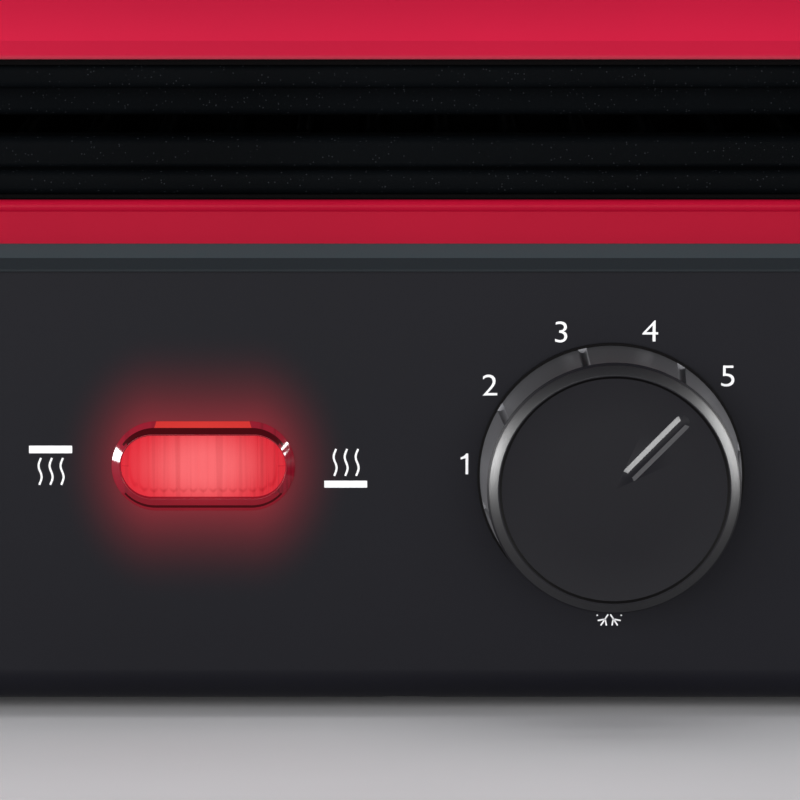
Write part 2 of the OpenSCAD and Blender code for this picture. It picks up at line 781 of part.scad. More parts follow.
module indicator_lens() {
    in_w = lens_w - 2 * bezel_w;
    in_h = lens_h - 2 * bezel_w;
    body_w = lens_w - 2 * lens_lap;
    body_h = lens_h - 2 * lens_lap;
    color([0.9, 0.1, 0.15]) on_panel(lens_x, knob_z + lens_up) {
        // Raised rim with a half-round crest
        linear_extrude(lens_rise - bezel_w / 2) difference() {
            oblong(lens_w, lens_h);
            oblong(in_w, in_h);
        }
        translate([0, 0, lens_rise - bezel_w / 2]) for (s = [-1, 1]) {
            translate([s * (lens_w - lens_h) / 2, 0, 0]) rotate([0, 0, s > 0 ? -90 : 90])
                rotate_extrude(angle = 180) translate([(lens_h - bezel_w) / 2, 0]) circle(d = bezel_w);
            translate([-(lens_w - lens_h) / 2, s * (lens_h - bezel_w) / 2, 0])
                rotate([0, 90, 0]) cylinder(d = bezel_w, h = lens_w - lens_h);
        }
        // Window with upright flutes on its back
        translate([0, 0, -0.6]) linear_extrude(1.2) oblong(in_w + 0.2, in_h + 0.2);
        flute_w = (in_w - in_h) / flute_n;
        for (i = [0 : flute_n - 1])
            translate([(i - (flute_n - 1) / 2) * flute_w, -in_h / 2 + 1, -0.6])
                rotate([-90, 0, 0]) cylinder(d = flute_w * 0.9, h = in_h - 2);
        // Skirt through the panel
        translate([0, 0, -skirt_l]) linear_extrude(skirt_l + 0.2) difference() {
            oblong(body_w, body_h);
            oblong(body_w - 2, body_h - 2);
        }
    }
}

module lamp_holder() {
    body_w = lens_w - 2 * lens_lap - 2;
    body_h = lens_h - 2 * lens_lap - 2;
    color("#d8d8d4") on_panel(lens_x, knob_z + lens_up) difference() {
        translate([0, 0, -skirt_l - holder_l]) linear_extrude(holder_l) oblong(body_w + 4, body_h + 4);
        translate([0, 0, -skirt_l - holder_l + 1.5]) linear_extrude(holder_l) oblong(body_w, body_h);
        for (s = [-1, 1]) translate([s * pin_x, 0, -skirt_l - holder_l - 1]) cylinder(d = 1 + 2 * peg_fit, h = 4);
    }
}

module indicator_lamp() {
    d = lens_h - 2 * lens_lap - 4;
    color([1, 0.55, 0.3]) on_panel(lens_x, knob_z + lens_up) {
        translate([-lamp_l / 2, 0, -skirt_l - holder_l + 1.7 + d / 2]) rotate([0, 90, 0]) cylinder(d = d, h = lamp_l);
        for (s = [-1, 1]) translate([s * pin_x, 0, -skirt_l - holder_l - 6]) cylinder(d = 1, h = 8);
    }
}

// Terminal block on two pegs, with a screwed ear at each end
module terminal_block() {
    color("#e9e6da") on_base() translate([gland_x, terminal_y, floor_top + peg_h]) difference() {
        union() {
            linear_extrude(ear_h) round_rect(2 * ear_x + ear_w, ear_w, 4);
            linear_extrude(terminal_h) round_rect(terminal_w, terminal_d, 2);
        }
        for (i = [-1 : 1]) translate([i * pole_pitch, 0, terminal_h - 6]) {
            cylinder(d = 4, h = 8);
            rotate([90, 0, 0]) cylinder(d = 3, h = terminal_d + 4, center = true);
        }
        for (s = [-1, 1]) translate([s * ear_x, 0, -1]) cylinder(d = hole_d, h = ear_h + 2);
    }
}

module terminal_screws() {
    color("#c9a84a") on_base() for (x = terminal_pegs)
        translate([x, terminal_y, floor_top + peg_h + ear_h]) mirror([0, 0, 1]) screw(ear_h + peg_h - 0.5);
}

module on_gland() {
    translate([gland_x, base_d / 2 - lip - wall / 2, gland_z]) rotate([-90, 0, 0]) children();
}

// Flanged bush that the mains lead would pass through
module cord_gland() {
    color("#1d1d1f") on_base() on_gland() difference() {
        union() {
            cylinder_from(-wall / 2 - 5, gland_neck, wall + 12);
            cylinder_from(wall / 2, gland_neck + 7, 2);
            cylinder_from(-wall / 2 - 2, gland_neck + 4, 2);
        }
        cylinder(d = gland_bore, h = 10 * wall, center = true);
    }
}

// Screw places of one hinge bracket, with Z pointing into the base from the rear face
module bracket_holes(sx) {
    for (dx = [-17.5, 17.5], z = [bracket_lo + 6, bracket_hi - 6])
        translate([sx * hinge_x + dx, base_d / 2, z]) rotate([90, 0, 0]) children();
}

// Bracket on the rear wall with two lugs that hold a hinge pin
module hinge_bracket(sx) {
    back = base_d / 2 - lip;
    pin_y = base_d / 2 + hinge_back;
    color("#2b2b2f") on_base() difference() {
        union() {
            translate([sx * hinge_x - plate_half, back, bracket_lo])
                cube([2 * plate_half, bracket_wall, bracket_hi - bracket_lo]);
            for (s = [-1, 1])
                translate([sx * hinge_x + s * (arm_t / 2 + gap + lug_t / 2) - lug_t / 2, 0, 0])
                    rotate([90, 0, 90]) linear_extrude(lug_t) {
                        polygon([[back, bracket_lo], [pin_y + lug_r, axis_z], [pin_y - lug_r, axis_z],
                            [back, bracket_hi]]);
                        translate([pin_y, axis_z]) circle(lug_r);
                    }
        }
        translate([0, pin_y, axis_z]) rotate([0, 90, 0])
            cylinder(d = pin_d + 2 * run_fit, h = base_w, center = true);
        bracket_holes(sx) cylinder(d = hole_d, h = 20, center = true);
    }
}

module hinge_bracket_left() {
    hinge_bracket(-1);
}

module hinge_bracket_right() {
    hinge_bracket(1);
}

module bracket_screws() {
    color("#8d9093") on_base() for (sx = [-1, 1]) bracket_holes(sx)
        translate([0, 0, lip - bracket_wall]) screw(bracket_wall + wall + 6);
}

// Each pin has a head on the outside and a ring groove on the inside
module hinge_pins() {
    color("#b9bbbd") for (sx = [-1, 1]) translate([sx * (hinge_x - pin_l / 2), axis_y, axis_z])
        rotate([0, sx * 90, 0]) difference() {
            union() {
                translate([0, 0, -4]) cylinder(d = pin_d, h = pin_l + 4);
                translate([0, 0, pin_l]) cylinder(d = pin_d + 4, h = 1.8);
            }
            translate([0, 0, -1.4 - peg_fit]) difference() {
                cylinder(d = pin_d + 1, h = 1 + 2 * peg_fit);
                cylinder(d = pin_d - 1.2, h = 4, center = true);
            }
        }
}

module hinge_rings() {
    color("#6e7073") for (sx = [-1, 1]) translate([sx * (hinge_x - pin_l / 2), axis_y, axis_z])
        rotate([0, sx * 90, 0]) translate([0, 0, -1.4]) difference() {
            cylinder(d = pin_d + 4, h = 1);
            translate([0, 0, -1]) cylinder(d = pin_d - 1.2 + 2 * peg_fit, h = 3);
            translate([0, -1, -1]) cube([pin_d, 2, 3]);
        }
}

// Blocks that turn on the pins and slide in the lid arms
module hinge_sliders() {
    color("#d8d8d4") for (sx = [-1, 1]) translate([sx * hinge_x - arm_t / 2, axis_y, axis_z])
        rotate([90, 0, 90]) difference() {
            linear_extrude(arm_t) {
                for (s = [-1, 1]) translate([0, s * slide_h]) circle(slide_r);
                translate([-slide_r, -slide_h]) square([2 * slide_r, 2 * slide_h]);
            }
            translate([0, 0, -1]) cylinder(d = pin_d + 2 * run_fit, h = arm_t + 2);
        }
}

// Lid arm seen from the side: a bar over the lid frame and an ear with the slot for the slider
module arm_section() {
    top = frame_top - axis_z;
    difference() {
        union() {
            translate([-hinge_back - arm_in, top]) square([hinge_back + arm_in, ear_r]);
            translate([0, top]) circle(ear_r);
            translate([-ear_r, -slide_h - float_h]) square([2 * ear_r, top + slide_h + float_h]);
            translate([0, -slide_h - float_h]) circle(ear_r);
        }
        translate([-slot_r, -slide_h - float_h]) square([2 * slot_r, 2 * slide_h + float_h]);
        for (z = [slide_h, -slide_h - float_h]) translate([0, z]) circle(slot_r);
    }
}

// Screw places on the foot of one arm, from the middle of the base in plan
module arm_bolts(sx, z) {
    for (s = [-1, 1]) translate([sx * hinge_x + s * (arm_t / 2 + head_d / 2 + 0.4), bolt_y, z]) children();
}

module lid_arm(sx) {
    color("#2b2b2f") on_base() difference() {
        union() {
            translate([sx * hinge_x - arm_t / 2, base_d / 2 + hinge_back, axis_z])
                rotate([90, 0, 90]) linear_extrude(arm_t) arm_section();
            translate([sx * hinge_x - foot_w / 2, base_d / 2 - arm_in, frame_top])
                cube([foot_w, arm_in - foot_out, foot_t]);
        }
        arm_bolts(sx, frame_top - 1) cylinder(d = hole_d, h = foot_t + 2);
    }
}

module lid_arm_left() {
    lid_arm(-1);
}

module lid_arm_right() {
    lid_arm(1);
}

module arm_screws() {
    color("#8d9093") on_base() for (sx = [-1, 1])
        arm_bolts(sx, frame_top + foot_t) mirror([0, 0, 1]) screw(foot_t + wall - 0.4);
}

// Outline of the lid's edge in its upright section, drawn in by a wall where one is given
module lid_outline(inward) {
    nu = cos(lid_lean);
    nz = sin(lid_lean);
    r = lid_round - inward;
    foot = inward > 0 ? [[-inward, lid_z - 1]] : [[-lid_edge, lid_z], [0, lid_z + lid_edge]];
    polygon(concat(foot, [[-inward, lid_base_z - inward * tan(lid_lean / 2)], [round_u + r * nu, round_z + r * nz],
        [round_u, round_z + r], [-lid_in, round_z + r], [-lid_in, foot[0][1]]]));
    translate([round_u, round_z]) intersection() {
        circle(r);
        polygon([[0, 0], [2 * r * nu, 2 * r * nz], [2 * r, 2 * r], [0, 2 * r]]);
    }
    if (inward == 0) translate([-lid_edge, lid_z + lid_edge]) intersection() {
        circle(lid_edge);
        translate([0, -lid_edge]) square(lid_edge);
    }
}

// The lid's whole outer form, and the hollow inside its walls
module lid_form() {
    carry_round(rim_in) lid_outline(0);
    translate([0, 0, lid_z]) linear_extrude(lid_h) plan(rim_in + lid_in);
}

module lid_hollow() {
    carry_round(rim_in) lid_outline(wall);
    translate([0, 0, lid_z - 1]) linear_extrude(lid_h + 1 - wall) plan(rim_in + lid_in);
}

module lid_shell() {
    color("#cc2041") on_base() difference() {
        union() {
            difference() {
                lid_form();
                lid_hollow();
            }
            for (p = joint_points) translate([p[0], p[1], frame_top])
                cylinder(d = post_d, h = lid_top - post_d / 2 - frame_top);
        }
        for (p = joint_points) translate([p[0], p[1], frame_top - 1]) cylinder(d = hole_d, h = lid_bite + 2);
        // Notches that the arms come out of
        for (sx = [-1, 1]) translate([sx * hinge_x - arm_t / 2 - gap, base_d / 2 - rim_in - 12, lid_z - 1])
            cube([arm_t + 2 * gap, 20, frame_top + ear_r + gap - lid_z + 1]);
        for (s = [-1, 1]) translate([s * handle_w / 2, -base_d / 2, grip_z])
            rotate([90, 0, 0]) cylinder(d = rod_d + 2 * peg_fit, h = 2 * handle_reach, center = true);
    }
}

module lid_frame() {
    out = rim_in + wall + gap;
    color("#1e1f22") on_base() translate([0, 0, hang_z]) difference() {
        linear_extrude(wall) plan(out);
        translate([0, 0, -1]) linear_extrude(wall + 2) plan(pan_in - gap, pan_r + 0.5);
        for (p = plate_points) translate([p[0], p[1], -1]) cylinder(d = hole_d, h = wall + 2);
        for (p = joint_points) translate([p[0], p[1], -1]) cylinder(d = hole_d, h = wall + 2);
        for (sx = [-1, 1]) arm_bolts(sx, 0.2) cylinder(d = hole_d, h = wall + 2);
    }
}

module lid_screws() {
    color("#8d9093") on_base() for (p = joint_points) translate([p[0], p[1], hang_z]) screw(wall + lid_bite);
}

// A section, drawn outwards and upwards, carried along the handle's bow
module carry_bow() {
    straight = handle_w - 2 * grip_bend;
    leg_y = grip_y + grip_bend;
    translate([straight / 2, grip_y, 0]) rotate([90, 0, -90]) linear_extrude(straight) children();
    for (s = [0, 1]) mirror([s, 0, 0]) {
        translate([straight / 2, leg_y, 0]) rotate([0, 0, 270])
            rotate_extrude(angle = 90) translate([grip_bend, 0]) children();
        translate([handle_w / 2, leg_end, 0]) rotate([90, 0, 0]) linear_extrude(leg_end - leg_y) children();
    }
}

// Half of the handle, above or below the parting plane
module handle_half(up) {
    on_base() difference() {
        translate([0, 0, grip_z]) carry_bow() intersection() {
            round_rect(grip_d, grip_h, 6);
            translate([-grip_d, up > 0 ? 0 : -grip_h]) square([2 * grip_d, grip_h]);
        }
        translate([0, 0, grip_z]) carry_bow() circle(d = rod_d + 2 * peg_fit);
        lid_form();
    }
}

module handle_top() {
    color("#26262a") handle_half(1);
}

module handle_bottom() {
    color("#1f1f22") handle_half(-1);
}

// Steel rod bent through the handle, with its ends inside the lid
module handle_rod() {
    color("#8d9093") on_base() translate([0, 0, grip_z]) {
        carry_bow() circle(d = rod_d);
        for (s = [-1, 1]) translate([s * handle_w / 2, leg_end + nut_h + 2, 0])
            rotate([90, 0, 0]) cylinder(d = rod_d, h = nut_h + 2);
    }
}

module handle_nuts() {
    color("#b9bbbd") on_base() for (s = [-1, 1]) translate([s * handle_w / 2, leg_end, grip_z])
        rotate([-90, 0, 0]) difference() {
            cylinder(d = nut_d, h = nut_h, $fn = 6);
            translate([0, 0, -1]) cylinder(d = rod_d + 2 * peg_fit, h = nut_h + 2);
        }
}

// Half of the knob's section: sloping skirt, fine groove, bevel and sunken face, without the raised pointer
module knob_section() {
    r = knob_d / 2;
    skin = 1.8;
    bevel = 1.3;
    top = knob_h - bevel;
    polygon([[0, knob_h - face_in], [r - 3, knob_h - face_in], [r - 2.3, knob_h], [r - 1, top], [r - 1.3, top - 0.3],
        [r - 0.7, top - 0.7], [r, knob_gap], [r - skin, knob_gap], [r - skin - 0.5, knob_h - 3],
        [hub_r, knob_h - 3], [hub_r, 2.5], [0, 2.5]]);
}

module thermostat_knob() {
    color("#242428") on_panel(knob_x, knob_z) difference() {
        union() {
            rotate_extrude() knob_section();
            rotate([0, 0, pointer_a]) translate([pointer_r, 0, knob_h - 2 * face_in])
                linear_extrude(face_in + pointer_h) oblong(pointer_l, pointer_w);
        }
        // Grip notches round the skirt
        for (i = [0 : notch_n - 1]) rotate([0, 0, 13 + 360 / notch_n * i])
            translate([knob_d / 2 - 0.1, 0, -1]) cylinder(d = notch_d, h = knob_h - 1.2);
        // Socket for the flattened shaft
        difference() {
            cylinder_from(0, shaft_d + 2 * peg_fit, knob_h - 2.5);
            shaft_flat(peg_fit);
        }
    }
}

// Block that takes the flat off the shaft, above a clearance
module shaft_flat(off) {
    rotate([0, 0, pointer_a]) translate([shaft_d / 4 + off, -shaft_d, 2]) cube([shaft_d, 2 * shaft_d, knob_h]);
}

module thermostat_shaft() {
    color("#b9bbbd") on_panel(knob_x, knob_z) difference() {
        cylinder_from(thermo_z - shaft_in, shaft_d, knob_h - 3 - thermo_z + shaft_in);
        shaft_flat(0);
    }
}

// Spring ring that grips the knob's hub on the shaft
module knob_clip() {
    color("#6e7073") on_panel(knob_x, knob_z) translate([0, 0, 4]) difference() {
        cylinder(r = hub_r + 0.8, h = 3);
        translate([0, 0, -1]) cylinder(r = hub_r + peg_fit, h = 5);
        translate([0, -1, -1]) cube([hub_r + 2, 2, 5]);
    }
}

// Tray with a thick front that has a finger scoop from below
module drip_tray() {
    front_t = 11;
    scoop_r = 8;
    scoop_end = 15;
    color("#2f3034") on_base() translate([tray_face - tray_l, tray_back, tray_z]) difference() {
        union() {
            translate([0, -tray_w / 2, 0]) cube([tray_l - front_t + 1, tray_w, tray_h - 3]);
            translate([tray_l - front_t, -tray_w / 2, 0]) cube([front_t, tray_w, tray_h]);
        }
        translate([tray_t, -tray_w / 2 + tray_t, tray_t])
            cube([tray_l - front_t - tray_t, tray_w - 2 * tray_t, tray_h]);
        translate([tray_l, 0, -2]) rotate([90, 0, 0]) cylinder(r = scoop_r, h = tray_w - 2 * scoop_end, center = true);
    }
}

base_tub();
control_panel();
base_deck();
base_rim();
lower_plate();
lower_element();
lower_element_clips();
lower_shield();
lower_fuse();
lower_plate_screws();
rim_screws();
base_screws();
base_feet();
thermostat_body();
thermostat_bracket();
thermostat_screws();
thermostat_sensor();
indicator_lens();
indicator_lamp();
lamp_holder();
terminal_block();
terminal_screws();
cord_gland();
grease_duct();
hinge_bracket_left();
hinge_bracket_right();
bracket_screws();
hinge_pins();
hinge_rings();
hinge_sliders();
lid_shell();
lid_frame();
upper_plate();
upper_element();
upper_element_clips();
upper_shield();
upper_fuse();
upper_plate_screws();
lid_screws();
lid_arm_left();
lid_arm_right();
arm_screws();
handle_top();
handle_bottom();
handle_rod();
handle_nuts();
thermostat_knob();
thermostat_shaft();
knob_clip();
drip_tray();
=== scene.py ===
"""Looks of the contact grill in the part's own frame: finer pieces, finishes, studio and camera."""
import logging
import math
from dataclasses import dataclass, field
from enum import Enum
from typing import Iterable, Sequence

import bmesh
import bpy
from mathutils import Matrix, Vector


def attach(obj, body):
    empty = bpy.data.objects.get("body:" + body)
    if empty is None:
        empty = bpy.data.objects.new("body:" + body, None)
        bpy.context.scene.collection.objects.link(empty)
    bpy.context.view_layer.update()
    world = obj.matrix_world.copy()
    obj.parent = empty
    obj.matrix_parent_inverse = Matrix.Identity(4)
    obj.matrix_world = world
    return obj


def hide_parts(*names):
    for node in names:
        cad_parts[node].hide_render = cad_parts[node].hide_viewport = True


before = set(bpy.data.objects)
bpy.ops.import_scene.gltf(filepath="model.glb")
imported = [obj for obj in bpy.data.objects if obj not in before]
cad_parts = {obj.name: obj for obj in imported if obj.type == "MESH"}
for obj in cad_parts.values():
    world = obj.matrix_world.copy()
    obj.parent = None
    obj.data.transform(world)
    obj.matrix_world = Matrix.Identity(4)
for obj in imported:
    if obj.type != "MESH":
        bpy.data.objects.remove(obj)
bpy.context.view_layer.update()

LOG = logging.getLogger("grill")
MM = 0.001
# The panel's face in millimetres, and the lens's middle in metres as the shaders need it.
PANEL_Y = -125.2
LENS_CENTRE = (-0.028, PANEL_Y * MM, 0.0355)
DUST_GREY = (0.33, 0.32, 0.30)
BLACK = (0.0, 0.0, 0.0)
Colour = tuple[float, float, float]
Point2 = tuple[float, float]
Point3 = tuple[float, float, float]
Socket = bpy.types.NodeSocket
Sockets = bpy.types.bpy_prop_collection
Feed = Socket | float


class Body(str, Enum):
    """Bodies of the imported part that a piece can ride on."""

    BASE = "base"
    LID = "lid"
    KNOB = "knob"
    TRAY = "tray"


class Side(Enum):
    """Which way a grill plate faces."""

    LOWER = 1
    UPPER = -1


class LightUse(Enum):
    """What a light shows as: shading and highlights, highlights only, or shading only."""

    FULL = (True, True)
    GLINT = (False, True)
    WASH = (True, False)


class NodeBench:
    """Builds one node tree with few words."""

    def __init__(self, tree: bpy.types.NodeTree) -> None:
        """Takes a tree and clears it."""
        self.tree = tree
        tree.nodes.clear()

    def join(self, source: Socket, target: Socket) -> None:
        """Links one socket to another."""
        self.tree.links.new(source, target)

    def add(self, kind: str, inputs: dict | None = None, **settings: object) -> bpy.types.Node:
        """Adds a node.

        Args:
            kind: the node's type name.
            inputs: socket name or number to a value, or to a socket to link from.
            settings: properties of the node.
        Returns:
            The node.
        """
        node = self.tree.nodes.new(kind)
        for key, value in settings.items():
            setattr(node, key, value)
        for key, value in (inputs or {}).items():
            if isinstance(value, Socket):
                self.join(value, node.inputs[key])
            else:
                node.inputs[key].default_value = value
        return node

    def out(self, kind: str, inputs: dict | None = None, **settings: object) -> Socket:
        """Adds a node and gives its first output."""
        return self.add(kind, inputs, **settings).outputs[0]

    def maths(self, operation: str, first: Feed, second: Feed = 0.0, clamp: bool = False) -> Socket:
        """Result of a Math node."""
        return self.out("ShaderNodeMath", {0: first, 1: second}, operation=operation, use_clamp=clamp)

    def times(self, first: Feed, second: Feed) -> Socket:
        """Product of two values."""
        return self.maths("MULTIPLY", first, second)

    def plus(self, first: Feed, second: Feed, clamp: bool = False) -> Socket:
        """Sum of two values, held between 0 and 1 if clamped."""
        return self.maths("ADD", first, second, clamp)

    def minus(self, first: Feed, second: Feed, clamp: bool = False) -> Socket:
        """Difference of two values, held between 0 and 1 if clamped."""
        return self.maths("SUBTRACT", first, second, clamp)

    def over(self, first: Feed, second: Feed) -> Socket:
        """Quotient of two values."""
        return self.maths("DIVIDE", first, second)

    def larger(self, first: Feed, second: Feed) -> Socket:
        """The larger of two values."""
        return self.maths("MAXIMUM", first, second)

    def size_of(self, value: Feed) -> Socket:
        """A value without its sign."""
        return self.maths("ABSOLUTE", value)

    def squared(self, value: Feed) -> Socket:
        """Square of a value."""
        return self.maths("POWER", value, 2.0)

    def distance(self, first: Feed, second: Feed) -> Socket:
        """Length of the line across two sides."""
        return self.maths("SQRT", self.plus(self.squared(first), self.squared(second)))

    def ease(self, value: Feed, low: float, high: float) -> Socket:
        """Smooth step of a value from 0 at low to 1 at high."""
        return self.out("ShaderNodeMapRange", {"Value": value, "From Min": low, "From Max": high},
                        interpolation_type="SMOOTHSTEP")

    def blend(self, factor: Feed, first: Socket | Colour, second: Socket | Colour) -> Socket:
        """Colour between two colours.

        Args:
            factor: 0 gives the first colour, 1 the second.
            first, second: sockets or linear colours.
        Returns:
            The colour.
        """
        ends = [c if isinstance(c, Socket) else (*c, 1.0) for c in (first, second)]
        return self.add("ShaderNodeMix", {0: factor, 6: ends[0], 7: ends[1]}, data_type="RGBA").outputs[2]

    def place(self) -> Socket:
        """Where a point lies on its piece."""
        return self.add("ShaderNodeTexCoord").outputs["Object"]

    def axes(self, vector: Socket) -> Sockets:
        """X, Y and Z of a vector."""
        return self.add("ShaderNodeSeparateXYZ", {0: vector}).outputs

    def facing(self) -> Sockets:
        """X, Y and Z of the way that a face looks."""
        return self.axes(self.add("ShaderNodeTexCoord").outputs["Normal"])

    def about_lens(self) -> Socket:
        """Where a point lies as seen from the lens's middle."""
        away = tuple(-c for c in LENS_CENTRE)
        return self.out("ShaderNodeMapping", {"Vector": self.place(), "Location": away})

    def vector(self, **parts: Feed) -> Socket:
        """Vector of the given parts X, Y and Z; the others are 0."""
        return self.out("ShaderNodeCombineXYZ", parts)

    def noise(self, vector: Socket, scale: Feed, detail: float, roughness: float = 0.5) -> Socket:
        """Value of a noise texture.

        Args:
            vector: where it is read.
            scale: how fine it is.
            detail: how many finer layers it has.
            roughness: how strong the finer layers are.
        Returns:
            The value.
        """
        node = self.add("ShaderNodeTexNoise", {"Vector": vector, "Scale": scale, "Detail": detail,
                                               "Roughness": roughness})
        return node.outputs["Fac"]


class ShaderGroup(Enum):
    """Shader node groups that several finishes share."""

    GRAIN = "moulded_grain"
    DUST = "settled_dust"
    SCUFFS = "fine_scuffs"
    SPECKLE = "coating_speckle"

    def tree(self) -> bpy.types.NodeTree:
        """The group's tree, built at its first use.

        Returns:
            The tree.
        """
        made = bpy.data.node_groups.get(self.value)
        makers = {ShaderGroup.GRAIN: grain_group, ShaderGroup.DUST: dust_group,
                  ShaderGroup.SCUFFS: scuff_group, ShaderGroup.SPECKLE: speckle_group}
        return made if made else makers[self]()

    def put(self, bench: NodeBench, **values: float) -> Sockets:
        """Places the group in a tree with these values and gives its outputs."""
        return bench.add("ShaderNodeGroup", values, node_tree=self.tree()).outputs


def open_group(kind: ShaderGroup, inputs: dict[str, float],
               outputs: Sequence[str]) -> tuple[NodeBench, dict, dict]:
    """Starts a shader group of numbers.

    Args:
        kind: which group.
        inputs: input names with their default numbers.
        outputs: output names.
    Returns:
        The bench, the input sockets by name and the sockets to link results to by name.
    """
    tree = bpy.data.node_groups.new(kind.value, "ShaderNodeTree")
    for label, value in inputs.items():
        tree.interface.new_socket(label, in_out="INPUT", socket_type="NodeSocketFloat").default_value = value
    for label in outputs:
        tree.interface.new_socket(label, in_out="OUTPUT", socket_type="NodeSocketFloat")
    bench = NodeBench(tree)
    source, sink = bench.add("NodeGroupInput"), bench.add("NodeGroupOutput")
    return bench, {s.name: s for s in source.outputs if s.name}, {s.name: s for s in sink.inputs if s.name}


def close_group(bench: NodeBench, wanted: dict[str, Socket], **results: Socket) -> bpy.types.NodeTree:
    """Links a group's results to its outputs.

    Args:
        bench: the group's bench.
        wanted: the sockets to link to by name.
        results: the results by the same names.
    Returns:
        The group's tree.
    """
    for label, result in results.items():
        bench.join(result, wanted[label])
    return bench.tree


def grain_group() -> bpy.types.NodeTree:
    """Fine moulded grain: a height, a slow mottle and a change of gloss.

    Returns:
        The group's tree.
    """
    bench, given, wanted = open_group(ShaderGroup.GRAIN, {"Scale": 2400.0, "Patch": 22.0},
                                      ("Height", "Mottle", "Gloss"))
    place = bench.place()
    fine = bench.noise(place, given["Scale"], 3.0, 0.6)
    slow = bench.noise(place, given["Patch"], 4.0, 0.55)
    broad = bench.noise(place, bench.times(given["Scale"], 0.16), 2.0)
    height = bench.plus(fine, bench.times(broad, 0.6))
    gloss = bench.plus(bench.times(fine, 0.5), bench.times(slow, 0.5))
    return close_group(bench, wanted, Height=height, Mottle=slow, Gloss=gloss)


def dust_group() -> bpy.types.NodeTree:
    """Thin dust on faces that look up at rest.

    Returns:
        The group's tree.
    """
    bench, given, wanted = open_group(ShaderGroup.DUST, {"Amount": 0.2, "Scale": 180.0}, ("Mask",))
    up = bench.ease(bench.facing()["Z"], 0.35, 0.95)
    patchy = bench.ease(bench.noise(bench.place(), given["Scale"], 6.0, 0.7), 0.42, 0.72)
    return close_group(bench, wanted, Mask=bench.times(bench.times(up, patchy), given["Amount"]))


def scuff_group() -> bpy.types.NodeTree:
    """Hairline scuffs from wiping, mostly along X.

    Returns:
        The group's tree.
    """
    bench, given, wanted = open_group(ShaderGroup.SCUFFS, {"Amount": 0.5, "Scale": 160.0}, ("Mask", "Height"))
    place = bench.place()
    drawn = bench.out("ShaderNodeMapping", {"Vector": place, "Scale": (0.06, 1.0, 1.0),
                                            "Rotation": (0.2, 0.1, 0.3)})
    lines = bench.noise(drawn, bench.times(given["Scale"], 9.0), 2.0)
    where = bench.noise(place, given["Scale"], 2.0)
    hair = bench.times(bench.ease(lines, 0.66, 0.74), bench.ease(where, 0.5, 0.66))
    mask = bench.times(hair, given["Amount"])
    return close_group(bench, wanted, Mask=mask, Height=bench.times(mask, -1.0))


def speckle_group() -> bpy.types.NodeTree:
    """Grains in a sprayed coating: a bumpy height and a mask of bright flecks.

    Returns:
        The group's tree.
    """
    bench, given, wanted = open_group(ShaderGroup.SPECKLE, {"Scale": 1900.0, "Share": 0.5},
                                      ("Height", "Flecks"))
    place = bench.place()
    cells = bench.add("ShaderNodeTexVoronoi", {"Vector": place, "Scale": given["Scale"]}).outputs
    pick = bench.out("ShaderNodeSeparateColor", {0: cells["Color"]})
    dots = bench.minus(1.0, bench.ease(cells["Distance"], 0.08, 0.3))
    flecks = bench.times(dots, bench.maths("GREATER_THAN", given["Share"], pick))
    rough = bench.noise(place, bench.times(given["Scale"], 0.5), 4.0, 0.65)
    height = bench.plus(rough, bench.times(dots, 0.35))
    return close_group(bench, wanted, Height=height, Flecks=flecks)


